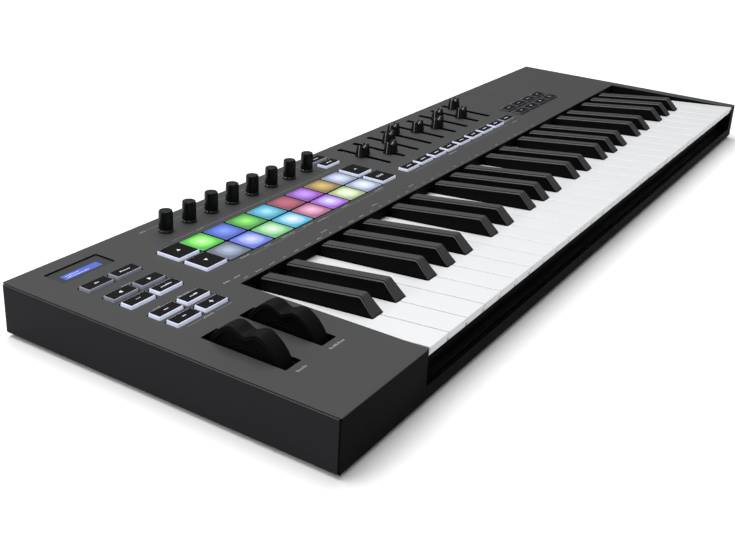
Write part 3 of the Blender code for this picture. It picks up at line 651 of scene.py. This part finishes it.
def top_panel():
    """The panel with its lip over the side grooves, and the strip that turns down behind the keys."""
    def outline(left, right):
        return rounded([
            (left, 0.0), (BLOCK, 0.0), (BLOCK, KEY_BACK), (RIGHT, KEY_BACK), (RIGHT, 0.0), (right, 0.0),
            (right, DEPTH), (left, DEPTH),
        ], 0.7)

    holes = panel_holes()
    upper, lower = outline(0.0, WIDTH), outline(PLATE, WIDTH - PLATE)
    seam = TOP - LIP
    shape = Shape()
    # Hole walls, the skin under the lip and the strip behind the keys take the much darker case material:
    # painted shade in the openings, the side grooves and behind the keys.
    shape.plate(upper, seam, TOP, 0.35, 0.0, holes, wall_mark=1, floor=False)
    shape.plate(lower, UNDER, seam, 0.0, 0.0, holes, mark=1, lid=False)
    shape.stack([(seam, lower), (seam, upper)], 1, ends=(None, None))
    near, far = KEY_BACK + 0.3, KEY_BACK + 2.3
    shape.block(BLOCK + 0.5, near, TOP - 9.3, RIGHT - 0.5, far, TOP - 1.2, 0.3, mark=1)
    piece("panel_plate", shape, CASING, [M["panel"], M["case"]], ("top_panel",))


def feet():
    """Four turned pads with a hollow underneath."""
    for number in range(1, 5):
        box = span(f"foot_{number}")
        r, z = (box[3] - box[0]) / 2.0, box[5]
        profile = [(r - 3.2, 0.5), (r - 2.6, 0.0), (r - 1.0, 0.0), (r - 0.3, 0.3), (r, 1.0), (r, z)]
        shape = Shape().turned(profile, *centre(box))
        piece(f"foot_pad_{number}", shape, CASING, M["foot"], (f"foot_{number}",))


# ---------------------------------------------------------------- keys
PITCH = 23.57          # one white key and its gap
KEYS_X = 92.3          # left side of the lowest key
WHITES = 29
KEY_GAP = 0.8
KEY_FRONT = 0.3
KEY_THICK = 6.0        # from a white key's top to the foot of its skirt
SLOPE = 0.0734         # fall of the keys towards the back, in mm for each mm
NOTCH_Y = 49.5         # where the white keys' notches for the black keys begin
SLAB_BACK = 146.0
SHIFT = {0: -2.2, 1: 2.2, 3: -3.3, 4: 0.0, 5: 3.3}      # black keys' offsets, by the white key before
HINGE_Y = 187.0
RAIL_HALF = 3.0
ARM = 1.7              # thickness of the bending arms
CEGB_LEVEL = -10.0     # underside of the C-E-G-B combs' arms, from the white keys' tops
DFA_LEVEL = -5.6
BLACK_LEVEL = -2.2
BLACK_FRONT = NOTCH_Y + KEY_GAP
BLACK_END = 138.0
BLACK_HALF = 6.0


def white_top(y):
    return TOP - SLOPE * y


def leaned(shape):
    """Bring a shape made on level keys to the keys' slope."""
    shape.points = [(x, y, z + white_top(y)) for x, y, z in shape.points]
    return shape


def black_centre(white):
    """The middle of the black key that follows a white key."""
    return KEYS_X + (white + 1) * PITCH + SHIFT[white % 7]


def has_black(white):
    return white >= 0 and white % 7 in SHIFT and white + 1 < WHITES


def white_key(shape, white, level):
    """Add a white key and its arm; return its tail's left and right sides."""
    left = KEYS_X + white * PITCH + KEY_GAP / 2.0
    right = left + PITCH - KEY_GAP
    clear = BLACK_HALF + KEY_GAP
    tail_left = black_centre(white - 1) + clear if has_black(white - 1) else left
    tail_right = black_centre(white) - clear if has_black(white) else right

    def outline(front, side):
        points = [(left + side, front), (right - side, front)]
        if tail_right < right:
            points += [(right - side, NOTCH_Y - side), (tail_right - side, NOTCH_Y - side)]
        points += [(tail_right - side, SLAB_BACK), (tail_left + side, SLAB_BACK)]
        if tail_left > left:
            points += [(tail_left + side, NOTCH_Y - side), (left + side, NOTCH_Y - side)]
        return points

    lip = 2.9              # depth of the overhanging edge
    first = len(shape.faces)
    shape.plate(rounded(outline(KEY_FRONT, 0.0), 1.0), -lip, 0.0, 0.55, 0.25, steps=4)
    shape.plate(rounded(outline(KEY_FRONT + 0.9, 0.35), 0.5), -KEY_THICK, 0.3 - lip, 0.0, 0.2)
    # Walls facing the next key take the darker white: painted shade in the gaps between keys.
    for index in range(first, len(shape.faces)):
        ring, _ = shape.faces[index]
        xs = [shape.points[i][0] for i in ring]
        if max(xs) - min(xs) < 0.01:
            shape.faces[index] = (ring, 1)
    x0, x1 = tail_left + 1.0, tail_right - 1.0
    near = SLAB_BACK - 5.0
    if level < -KEY_THICK:
        shape.block(x0, near, level, x1, SLAB_BACK - 1.0, 0.6 - KEY_THICK)
    shape.block(x0, near, level, x1, HINGE_Y + RAIL_HALF - 0.4, level + ARM)
    return tail_left, tail_right


def white_comb(name, whites, level):
    shape = Shape()
    edges = [white_key(shape, white, level) for white in whites]
    x0, x1 = edges[0][0] + 0.6, edges[-1][1] - 0.6
    shape.block(x0, HINGE_Y - RAIL_HALF, level - 0.1, x1, HINGE_Y + RAIL_HALF, level + 1.8, 0.2)
    materials = [M["white"], M["white_side_painted_shade"]]
    piece(f"{name}_keys", leaned(shape), name, materials, (name,), angle=40.0)


def black_profile():
    """The raised key's top line from its foot to its back: (y, height above the white keys)."""
    foot, nose, tail = Vector((BLACK_FRONT, 0.6)), Vector((60.7, 12.4)), Vector((BLACK_END, 8.7))
    reach = 1.5            # length of the nose's curve on each side
    before, after = (nose - foot).normalized() * reach, (tail - nose).normalized() * reach
    points = [tuple(foot), (BLACK_FRONT + 0.9, 1.7)] + curve(nose - before, nose, nose + after, 5)
    return points + [(BLACK_END - 1.0, 8.75), (BLACK_END, 8.3)]


def black_key(shape, white):
    """Add a black key and its arm: a cap with a stepped rim on slanting sides."""
    middle = black_centre(white)
    waist = 0.3            # height at which the sides begin to lean
    base = 0.5 - KEY_THICK
    narrow = 4.75          # half the top's width
    rings = []
    for y, height in black_profile():
        rise = max(height - waist, 0.2)
        half = BLACK_HALF - (BLACK_HALF - narrow) * min(1.0, rise / 12.0)
        s = min(1.0, rise / 4.0)
        section = [
            (-BLACK_HALF, base), (-BLACK_HALF, waist), (-half - 0.05 * s, height - 1.3 * s),
            (-half + 0.1 * s, height - 1.1 * s), (-half + 0.55 * s, height - 0.5 * s),
            (-half + 0.75 * s, height - 0.62 * s), (-half + 0.95 * s, height - 0.62 * s),
            (-half + 1.0 * s, height - 0.1 * s), (-half + 1.3 * s, height),
        ]
        ring = [(middle + x, y, z) for x, z in section]
        ring += [(middle - x, y, z) for x, z in reversed(section)]
        rings.append(ring)
    # Faces marked 2, the chamfer between side and top, take the lighter edge colour as a painted highlight.
    half_sides = [0, 0, 2, 2, 0, 0, 0, 1]      # 0 is the side, 1 the top and 2 the bright edge between
    sides = half_sides + [1] + half_sides[::-1] + [0]
    shape.loft(rings, ends=(1, 0), sides=sides)
    half = BLACK_HALF - 1.4
    back = HINGE_Y + RAIL_HALF - 0.4
    shape.block(middle - half, BLACK_END - 6.0, BLACK_LEVEL, middle + half, back, BLACK_LEVEL + ARM)


def black_comb(name, whites):
    shape = Shape()
    for white in whites:
        black_key(shape, white)
    x0, x1 = black_centre(whites[0]) - 5.0, black_centre(whites[-1]) + 5.0
    shape.block(x0, HINGE_Y - RAIL_HALF, -2.3, x1, HINGE_Y + RAIL_HALF, -0.4, 0.2)
    materials = [M["black"], M["black_top"], M["edge_painted_highlight"]]
    piece(f"{name}_keys", leaned(shape), name, materials, (name,), angle=28.0)


def keys():
    for octave in range(4):
        first, number = 7 * octave, octave + 1
        white_comb(f"white_keys_cegb_{number}", [first + step for step in (0, 2, 4, 6)], CEGB_LEVEL)
        white_comb(f"white_keys_dfa_{number}", [first + step for step in (1, 3, 5)], DFA_LEVEL)
        black_comb(f"black_keys_{number}", [first + step for step in SHIFT])
    white_comb("white_key_top_c", [WHITES - 1], CEGB_LEVEL)


# ---------------------------------------------------------------- marks
def mark_plate(shape, outline, z):
    """Add a printed mark: a thin plate that stands a little out of the surface at z."""
    sunk, thick = 0.02, 0.05
    shape.plate(outline, z - sunk, z + thick)


def bar(shape, x, y, z, width, height):
    mark_plate(shape, rect(x - width / 2.0, y - height / 2.0, x + width / 2.0, y + height / 2.0), z)


def words(shape, x, y, z, width, height):
    """A stand-in for lettering: a row of small uneven blocks centred on (x, y)."""
    pitch = height * 0.72
    count = max(2, round(width / pitch))
    foot = y - height / 2.0
    at = x - count * pitch / 2.0
    for _ in range(count):
        tall = height * rng.choice((0.62, 0.62, 0.62, 1.0))
        wide = pitch * rng.uniform(0.55, 0.75)
        mark_plate(shape, rect(at, foot, at + wide, foot + tall), z)
        at += pitch


ARROWS = {"right": 0.0, "up": 90.0, "left": 180.0, "down": 270.0}
CHEVRON = ((0.0, 1.3), (-2.0, -0.7), (-1.2, -0.9), (0.0, 0.4), (1.2, -0.9), (2.0, -0.7))
# Signs made of bars, each as its middle, width and height.
BARS = {
    "minus": [(0.0, 0.0, 3.0, 0.6)],
    "dash": [(0.0, 0.0, 7.4, 0.8)],
    "square": [(0.0, 0.0, 2.5, 2.5)],
    "plus": [(0.0, 0.0, 3.2, 0.6), (0.0, -0.97, 0.6, 1.3), (0.0, 0.97, 0.6, 1.3)],
    "three": [(u, v, 2.2, 0.7) for u in (-3.4, 0.0, 3.4) for v in (0.75, -0.75)],
    "loop": [(0.0, v, 3.4, 0.45) for v in (-1.3, 1.3)] + [(u, 0.0, 0.45, 3.05) for u in (-1.95, 1.95)],
}


def draw(shape, glyph, x, y, z):
    """Add a button's sign, or where the glyph is a number, a row of blocks that wide."""
    if glyph in ARROWS:
        mark_plate(shape, circle(x, y, 1.75, 3, ARROWS[glyph]), z)
    elif glyph in BARS:
        for u, v, width, height in BARS[glyph]:
            bar(shape, x + u, y + v, z, width, height)
    elif glyph == "dots":
        for u in (-1.4, 0.0, 1.4):
            mark_plate(shape, circle(x + u, y, 0.35, 10), z)
    elif glyph == "chevron":
        mark_plate(shape, [(x + u, y + v) for u, v in CHEVRON], z)
    elif glyph == "circle":
        mark_plate(shape, circle(x, y, 1.4, 20), z)
    else:
        words(shape, x, y, z, float(glyph), 1.35)


def panel_print():
    """Thin lines and rows of blocks where the panel is printed."""
    menu, pads = key_places("menu_buttons"), key_places("drum_pads")
    faders, transport = key_places("fader_buttons"), key_places("transport_buttons")
    first_knob, last_knob = span(KNOBS[0]), span(KNOBS[-1])
    left, right = menu[0][0], menu[1][2]
    middle = (left + right) / 2.0
    menu_y, fader_y = menu[0][1] - 3.4, faders[0][1] - 4.6
    pads_front, pads_back = pads[0][1] - 5.2, pads[8][3] + 5.6
    knobs_y = centre(first_knob)[1] + 11.6
    shape = Shape()
    lines = (              # x from and to, y, thickness
        (left + 4.0, middle - 6.5, menu_y, 0.28), (middle + 6.5, right - 1.0, menu_y, 0.28),
        (pads[1][2] - 31.0, pads[1][2] + 31.0, pads_front, 0.22),
        (pads[4][0] + 5.975, pads[7][2] - 5.975, pads_front, 0.22),
        (pads[0][0], pads[0][2], pads_back, 0.22), (pads[1][0] + 4.0, pads[4][2], pads_back, 0.22),
        (pads[5][0], pads[7][2], pads_back, 0.22),
        (first_knob[0] - 1.0, last_knob[3] + 1.0, knobs_y, 0.25),
        (faders[0][0], faders[2][0], fader_y, 0.22), (faders[4][0], faders[7][2], fader_y, 0.22),
    )
    for x0, x1, y, thick in lines:
        bar(shape, (x0 + x1) / 2.0, y, TOP, x1 - x0, thick)
    labels = [             # x, y, width, height
        (middle, menu_y, 10.0, 1.7), (middle, menu[6][3] + 2.6, 7.5, 1.6),
        (left + 10.6, menu[2][3] + 2.7, 7.0, 1.5), (middle + 12.0, menu[2][3] + 2.7, 10.5, 1.5),
    ]
    labels += [(centre(span(node))[0], 45.8, width, 2.0) for node, width in zip(WHEELS, (8.0, 15.0))]
    for pad, width in zip(pads, (10.0, 8.0, 15.0, 12.0, 0.0, 9.0, 0.0, 13.0)):
        if width:
            labels.append((centre(pad)[0], pad[1] - 3.0, width, 1.5))
    labels += [
        (pads[3][2] + 4.0, pads_front, 14.0, 1.5), (pads[0][2] + 5.0, pads_back, 7.0, 1.4),
        (first_knob[0] - 6.0, knobs_y, 6.0, 1.5), (faders[3][0], fader_y, 14.0, 1.5),
        (centre(faders[8])[0], fader_y, 10.0, 1.4),
    ]
    semitone = 7.0 * PITCH / 12.0
    for index in range(34):
        width = (4.5, 7.5, 6.0, 3.0)[index % 4] if index < 12 else 2.0 + 1.6 * (index % 3 == 0)
        labels.append((KEYS_X + 7.7 + index * semitone, KEY_BACK + 3.1, width, 1.1))
    for x, width in ((96.8, 7.0), (86.8, 6.0), (195.5, 8.0), (265.0, 7.5), (320.8, 7.5)):
        labels.append((x, KEY_BACK + 8.2, width, 1.5))
    labels += [(centre(key)[0], transport[7][3] + 2.2, 9.0, 1.2) for key in transport[:4]]
    for x, y, width, height in labels:
        words(shape, x, y, TOP, width, height)
    piece("panel_print", shape, CASING, M["print"], flat=True)


# ---------------------------------------------------------------- buttons
PROUD = 2.0            # the buttons' caps above the panel
LIGHTS = ("lit", "dim", "off")


def button(shape, box, mark):
    """Add a silicone button with sloping sides and a rounded upper edge."""
    outline = rounded(rect(*box), 1.4)
    upper = inset(outline, 0.35)
    foot = span("menu_buttons")[2] + 0.4
    head = TOP + PROUD - 0.25
    layers = [
        (foot, outline), (TOP, inset(outline, 0.1)), (head - 0.4, upper),
        (head - 0.12, inset(upper, 0.12)), (head, inset(upper, 0.4)),
    ]
    shape.stack(layers, mark)


def keypad(node, states, glyphs):
    """Skirts, caps and marks of one keypad. states gives each key's light."""
    boxes = key_places(node)
    border, cap_thick = 0.95, 0.6
    skirts, caps, bright, faint = Shape(), Shape(), Shape(), Shape()
    sheet = rounded(rect(*boxes[0][:2], *boxes[-1][2:], SHEET_MARGIN), 1.0)
    skirts.plate(sheet, span(node)[2], UNDER - 0.4, 0.1, mark=2)
    for box, state, glyph in zip(boxes, states, glyphs):
        button(skirts, box, LIGHTS.index(state))
        outline = rounded(rect(*box, -border), 0.6)
        caps.plate(outline, TOP + PROUD - cap_thick, TOP + PROUD, 0.18, 0.0, steps=2)
        target = faint if state == "off" and node != "menu_buttons" else bright
        draw(target, glyph, *centre(box), TOP + PROUD)
    piece(f"{node}_skirts", skirts, node, [M[name] for name in LIGHTS], (node,))
    piece(f"{node}_caps", caps, node, M["cap"])
    for suffix, shape, kind in (("marks", bright, "glyph"), ("faint_marks", faint, "faint")):
        if shape.points:
            piece(f"{node}_{suffix}", shape, node, M[kind], flat=True)


def drum_pads():
    """The mat and its lit pads, each with rounded edges and a slightly raised middle."""
    node = "drum_pads"
    box = span(node)
    mat = Shape().plate(rounded(footprint(box), 1.0), box[2], UNDER + 0.5, 0.2)
    piece("pad_mat", mat, node, M["mat"], (node,))
    # The light of each pad at its middle, halfway and at its edge: the front row, then the back row.
    colours = [
        ((0.39, 0.46, 0.61), (0.25, 0.31, 0.43), (0.13, 0.16, 0.22)),
        ((0.59, 0.62, 0.95), (0.36, 0.42, 0.98), (0.13, 0.19, 0.74)),
        ((0.70, 0.80, 0.70), (0.42, 0.75, 0.43), (0.18, 0.54, 0.22)),
        ((0.76, 0.86, 0.95), (0.42, 0.68, 0.95), (0.08, 0.49, 0.70)),
        ((0.86, 0.46, 0.64), (0.65, 0.30, 0.46), (0.42, 0.13, 0.25)),
        ((0.66, 0.72, 0.95), (0.52, 0.38, 0.96), (0.38, 0.13, 0.70)),
        ((0.85, 0.90, 0.86), (0.67, 0.83, 0.48), (0.42, 0.52, 0.26)),
        ((0.78, 0.84, 0.98), (0.60, 0.68, 0.88), (0.34, 0.40, 0.56)),
        ((0.52, 0.86, 0.38), (0.26, 0.84, 0.14), (0.08, 0.56, 0.06)),
        ((0.21, 0.29, 0.86), (0.11, 0.20, 0.74), (0.06, 0.11, 0.52)),
        ((0.29, 0.80, 0.16), (0.14, 0.59, 0.09), (0.06, 0.33, 0.05)),
        ((0.37, 0.72, 0.94), (0.13, 0.53, 0.72), (0.06, 0.36, 0.52)),
        ((0.50, 0.11, 0.17), (0.43, 0.09, 0.15), (0.25, 0.06, 0.10)),
        ((0.50, 0.31, 0.92), (0.45, 0.18, 0.79), (0.27, 0.08, 0.46)),
        ((0.61, 0.47, 0.15), (0.48, 0.34, 0.09), (0.29, 0.18, 0.06)),
        ((0.68, 0.76, 0.95), (0.50, 0.57, 0.76), (0.30, 0.35, 0.48)),
    ]
    base, top, corner = box[2] + 0.4, TOP + 0.55, 1.8
    crown = ((0.45, 0.1), (0.2, 0.25), (0.06, 0.5), (0.0, 0.95), (-0.12, 3.0), (-0.2, 6.5))  # drop, inset
    for index, (pad, (inner, between, outer)) in enumerate(zip(key_places(node), colours)):
        layers = [(base, rounded(rect(*pad), corner, 4))]
        layers += [(top - drop, rounded(rect(*pad, -way), corner, 4)) for drop, way in crown]
        # The walls below the crown take the dark mat material: painted shade in the gaps round the pads.
        shape = Shape().stack(layers[1:], ends=(None, 0)).stack(layers[:2], 1, ends=(1, None))
        row, number = "back" if index >= 8 else "front", index % 8 + 1
        glow = lit_pad(f"pad glow {row} {number}", inner, between, outer, (pad[2] - pad[0]) / 2.0, 0.53)
        at = (*centre(pad), top)
        piece(f"pad_{row}_{number}", shape, node, [glow, M["mat"]], origin=at)


def buttons():
    drum_pads()
    keypad("scene_buttons_left", ("lit", "lit"), ("down", "up"))
    keypad("scene_buttons_right", ("lit", "lit"), ("three", "chevron"))
    glyphs = ("minus", "plus", "4", "7", "dots", "10", "left", "right", "4", "9")
    keypad("menu_buttons", ("lit",) * 6 + ("dim",) * 4, glyphs)
    keypad("device_buttons", ("lit", "dim"), ("8", "7"))
    keypad("fader_buttons", ("lit",) * 8 + ("dim",), ("dash",) * 9)
    glyphs = ("right", "square", "circle", "loop", "7", "6", "8", "5")
    keypad("transport_buttons", ("off",) * 8, glyphs)


# ---------------------------------------------------------------- knobs and faders
def knobs():
    """Turned knobs on a glossy collar, with 24 ribs and a pointer line."""
    ribs = 24
    for name in KNOBS:
        box = span(name)
        x, y = centre(box)
        r, top, base = (box[3] - box[0]) / 2.0, box[5], TOP + 0.3
        profile = [
            (3.0, box[2]), (3.0, base + 0.02), (r - 0.3, base), (r, base + 0.3), (r, base + 0.9),
            (r - 0.14, base + 1.4), (r - 0.42, base + 1.8), (r - 0.46, base + 2.3), (r - 0.6, top - 1.0),
            (r - 0.72, top - 0.45), (r - 1.0, top - 0.12), (r - 1.4, top - 0.02), (r - 1.9, top - 0.12),
            (r - 4.0, top - 0.22), (0.4, top - 0.24),
        ]
        shape = Shape().turned(profile, x, y)
        collar = range(2 * SEGMENTS, 6 * SEGMENTS)
        shape.faces = [(face, int(index in collar)) for index, (face, _) in enumerate(shape.faces)]
        rib = ((-0.3, -0.22), (-0.3, 0.22), (0.05, 0.22), (0.05, -0.22))       # outwards, across
        for k in range(ribs):
            turn = 2.0 * math.pi * k / ribs
            out = Vector((math.cos(turn), math.sin(turn)))
            across = Vector((-out.y, out.x))
            layers = []
            for z, radius in ((base + 2.6, r - 0.47), (top - 1.6, r - 0.58)):
                corners = [out * (radius + depth) + across * side for depth, side in rib]
                layers.append((z, [(x + corner.x, y + corner.y) for corner in corners]))
            shape.stack(layers)
        materials = [M["knob"], M["collar"]]
        piece(f"{name}_cap", shape, name, materials, (name,), origin=(x, y, TOP))
        line = Shape().stack([
            (z, rect(x - 0.35, y + radius - 0.4, x + 0.35, y + radius + 0.06))
            for z, radius in ((base + 2.6, r - 0.38), (top - 1.3, r - 0.50))
        ])
        piece(f"{name}_pointer", line, name, M["line"], flat=True)


def arch(x, half, base, crest, grow=0.0):
    """A fader cap's outline across the panel: two raised ears and a scoop between them."""
    dip, steps = 2.9, 14
    ear = half - 1.0 + grow
    valley = ear - 1.1
    points = [(x - half - grow, base), (x + half + grow, base), (x + ear + 0.35, crest - 1.1 + grow)]
    points += [(x + ear + 0.1, crest - 0.35 + grow), (x + ear - 0.25, crest + grow)]
    for i in range(steps + 1):
        t = 1.0 - 2.0 * i / steps
        points.append((x + valley * t, crest - 0.25 - dip * (1.0 - abs(t) ** 2.4) + grow))
    points += [(x - ear + 0.25, crest + grow), (x - ear - 0.1, crest - 0.35 + grow)]
    return points + [(x - ear - 0.35, crest - 1.1 + grow)]


def fader_dust_strips():
    """Two felt strips under each slot, with a slit between them for the fader's blade."""
    bank = span("fader_bank")
    near, far = 0.95, 4.5
    shape = Shape()
    for name in FADERS:
        x, _ = centre(span(name))
        for x0, x1 in ((x - far, x - near), (x + near, x + far)):
            shape.block(x0, bank[1] + 0.4, UNDER - 0.9, x1, bank[4] - 1.0, UNDER - 0.3)
    piece("fader_dust_strips", shape, CASING, M["dust"], flat=True)


def faders():
    """Eared caps, pinched towards the top, each with its stem and the line across its middle."""
    for name in FADERS:
        box = span(name)
        x, y = centre(box)
        half, deep = (box[3] - box[0]) / 2.0, (box[4] - box[1]) / 2.0
        base, crest = TOP + 0.4, box[5]
        shape = Shape().plate(arch(x, half, base, crest), y - deep, y + deep, 0.35, 0.35, turn=along_y)
        for index, (px, py, pz) in enumerate(shape.points):
            t = min(1.0, max(0.0, (pz - base) / (crest - base)))
            pinch = 1.0 - 0.34 * t - 0.1 * math.sin(math.pi * t)
            shape.points[index] = (px, y + (py - y) * pinch, pz)
        shape.block(x - 0.8, y - 2.4, box[2], x + 0.8, y + 2.4, TOP + 3.0)
        piece(f"{name}_body", shape, name, M["fader"], (name,), origin=(x, y, TOP))
        line, proud = 0.32, 0.07
        stripe = Shape().plate(arch(x, half, base + 0.4, crest, proud), y - line, y + line, turn=along_y)
        piece(f"{name}_line", stripe, name, M["line"], flat=True)


# ---------------------------------------------------------------- wheels
def wheels():
    """Ribbed wheels with a finger scoop at the top; the part that never shows is left out."""
    spread, scoop_half, scoop_depth = math.radians(92.0), math.radians(24.0), 5.3
    tread = [              # half the rim's section: across, depth below the rim
        (0.0, 0.0), (3.6, 0.02), (5.3, 0.12), (5.85, 0.4), (6.05, 0.9), (5.7, 1.15), (5.7, 1.5), (6.1, 1.75),
        (6.15, 3.1), (5.9, 3.5), (4.7, 3.75),
    ]
    hub = [                # the same further in: across, distance from the axle
        (4.5, 17.6), (5.2, 17.4), (5.3, 16.4), (4.6, 16.1), (4.6, 15.1), (5.2, 14.9), (5.3, 14.0),
        (4.5, 13.7), (4.5, 7.9),
    ]
    steps = 96
    for name in WHEELS:
        box = span(name)
        x, y = centre(box)
        radius, z = (box[4] - box[1]) / 2.0, TOP - 12.4
        rings = []
        for i in range(steps + 1):
            angle = spread - 2.0 * spread * i / steps
            r = radius
            if abs(angle) < scoop_half:
                r -= scoop_depth * math.cos(math.pi * angle / (2.0 * scoop_half)) ** 2
            half = [(a, r - b) for a, b in tread] + hub
            section = half + [(-a, b) for a, b in reversed(half[1:])]
            rings.append([(x + a, y + b * math.sin(angle), z + b * math.cos(angle)) for a, b in section])
        shape = Shape().loft(rings)
        shape.plate(circle(y, z, 8.1, 32), x - 5.6, x + 5.6, 0.4, 0.4, turn=along_x)
        shape.plate(circle(y, z, 3.0, 24), box[0], box[3], 0.4, 0.4, turn=along_x)
        piece(f"{name}_body", shape, name, M["rubber"], (name,), origin=(x, y, z), angle=38.0)


# ---------------------------------------------------------------- display and sockets
def display():
    box = span("display_window")
    surround = Shape().plate(rounded(footprint(box), 0.6), box[2], box[5], 0.1)
    piece("display_surround", surround, CASING, M["window"], ("display_window",))
    x, y, z = box[0] + 5.2, box[1] + 3.0, box[5]
    width, depth, proud = 30.8, 6.7, 0.06
    outline = rounded(rect(x, y, x + width, y + depth), 0.3)
    lit = Shape().plate(outline, z - 0.05, z + proud, 0.02, steps=2)
    piece("display_lit_area", lit, CASING, M["lcd"])
    ink = Shape()
    for across, up, long in ((8.5, 4.7, 12.0), (11.5, 2.1, 18.0)):
        words(ink, x + across, y + up, z + proud, long, 1.6)
    piece("display_lines", ink, CASING, M["lcd_ink"], flat=True)


def sockets():
    """What shows inside and around the rear sockets, and the print above them."""
    boxes = {node: span(node) for node in ("usb_socket", "midi_socket", "sustain_jack")}
    face = boxes["usb_socket"][4]
    x, z = centre(boxes["usb_socket"], (0, 2))
    tongue = Shape().block(x - 2.9, face - 8.6, z - 1.5, x + 2.9, face - 0.9, z + 1.7, 0.2)
    for k in range(4):
        left = x - 2.3 + 1.35 * k
        tongue.block(left, face - 8.0, z + 1.65, left + 0.55, face - 1.4, z + 1.85)
    piece("usb_tongue", tongue, CASING, M["socket"])
    x, z = centre(boxes["midi_socket"], (0, 2))
    pins = Shape()
    for u, v in circle(x, z, 5.0, 8, 180.0)[:5]:
        pins.plate(circle(u, v, 0.75, 14), face - 9.2, face - 2.0, 0.4, turn=along_y)
    piece("midi_pins", pins, CASING, M["nickel"])
    x, z = centre(boxes["sustain_jack"], (0, 2))
    bore = circle(x, z, 3.25, 40)
    collar = Shape().plate(circle(x, z, 4.3, 40), face - 0.6, DEPTH + 0.5, 0.35, holes=(bore,), turn=along_y)
    piece("jack_collar", collar, CASING, M["nickel"])
    x = boxes["midi_socket"][0] + 10.0
    bore = circle(x, z, 7.4, 48)
    rim = Shape().plate(circle(x, z, 8.0, 48), face + 0.2, DEPTH + 0.3, 0.3, holes=(bore,), turn=along_y)
    piece("midi_rim", rim, CASING, M["socket"])
    labels = Shape()
    low, high = 31.4, 32.5
    for box, width in zip(boxes.values(), (7.0, 12.0, 9.0)):
        middle, _ = centre(box)
        at = middle - width / 2.0
        while at < middle + width / 2.0:
            labels.block(at, DEPTH - 0.02, low, at + 0.9, DEPTH + 0.04, high + 0.5 * rng.random())
            at += 1.4
    piece("rear_print", labels, CASING, M["print"], flat=True)


def carried_over():
    """Finishes for the CAD nodes that stay as they are."""
    finishes = {
        "rear_panel": "case", "key_chassis": "painted", "key_stop_felt": "felt", "key_circuit_board": "board",
        "key_contact_strip": "contact", "key_hinge_clamp": "steel", "encoder_bank": "steel",
        "fader_bank": "painted", "wheel_bracket": "steel", "control_circuit_board": "board",
        "display_module": "window", "usb_socket": "nickel", "midi_socket": "socket", "sustain_jack": "socket",
    }
    for node, kind in finishes.items():
        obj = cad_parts[node]
        for slot in obj.material_slots:
            slot.material = M[kind]


# ---------------------------------------------------------------- room, light and camera
def room():
    """A wide plain floor."""
    reach = 9.0            # metres
    mesh = bpy.data.meshes.new("floor")
    mesh.from_pydata([(u, v, 0.0) for u, v in rect(-reach, -reach, reach, reach)], [], [(0, 1, 2, 3)])
    mesh.materials.append(grained("floor paper", (0.95, 0.95, 0.95), 0.9, 1.0, 0.01, 0.005, level=0.1))
    floor = bpy.data.objects.new("floor", mesh)
    bpy.context.scene.collection.objects.link(floor)


def lamp(name, at, target, size, power):
    """An area light that faces its target."""
    data = bpy.data.lights.new(name, "AREA")
    data.shape = "RECTANGLE"
    data.size, data.size_y = size
    data.energy = power
    obj = bpy.data.objects.new(name, data)
    obj.location = at
    obj.rotation_euler = (Vector(target) - Vector(at)).to_track_quat("-Z", "Y").to_euler()
    bpy.context.scene.collection.objects.link(obj)


def light():
    """A white sky, brighter from the back left, a broad lamp overhead and two small ones from the left."""
    world = bpy.data.worlds.new("studio")
    bpy.context.scene.world = world
    world.use_nodes = True
    tree = world.node_tree
    background = tree.nodes["Background"]
    background.inputs["Color"].default_value = (1.0, 1.0, 1.0, 1.0)
    way = tree.nodes.new("ShaderNodeTexCoord")
    dot = tree.nodes.new("ShaderNodeVectorMath")
    dot.operation = "DOT_PRODUCT"
    dot.inputs[1].default_value = (-0.38, 0.42, 0.82)
    reach = tree.nodes.new("ShaderNodeMapRange")
    for socket, value in (("From Min", -0.3), ("From Max", 1.0), ("To Min", 0.1), ("To Max", 0.62)):
        reach.inputs[socket].default_value = value
    tree.links.new(way.outputs["Generated"], dot.inputs[0])
    tree.links.new(dot.outputs["Value"], reach.inputs["Value"])
    tree.links.new(reach.outputs["Result"], background.inputs["Strength"])
    lamp("overhead", (0.0, 0.6, 2.2), (0.0, 0.0, 0.0), (2.8, 1.8), 66.0)
    lamp("glint", (-1.3, -0.55, 1.0), (-0.1, 0.1, 0.04), (0.1, 0.1), 2.0)
    lamp("left_edge", (-1.9, 0.9, 0.9), (-0.2, 0.0, 0.0), (0.8, 0.6), 5.0)


def camera():
    """The photograph's viewpoint."""
    data = bpy.data.cameras.new("camera")
    data.sensor_width = 36.0
    data.lens = 49.8586
    data.shift_x = -0.02653
    data.shift_y = -0.07619
    data.clip_start, data.clip_end = 0.01, 50.0
    obj = bpy.data.objects.new("camera", data)
    obj.location = (-0.766266, -0.36868, 0.327081)
    obj.rotation_euler = (1.191123, -0.053547, -1.015269)
    bpy.context.scene.collection.objects.link(obj)
    bpy.context.scene.camera = obj
    bpy.context.scene.view_settings.view_transform = "Standard"


def main():
    carried_over()
    case_shell()
    side_plates()
    top_panel()
    feet()
    keys()
    panel_print()
    buttons()
    knobs()
    fader_dust_strips()
    faders()
    wheels()
    display()
    sockets()
    room()
    light()
    camera()


main()
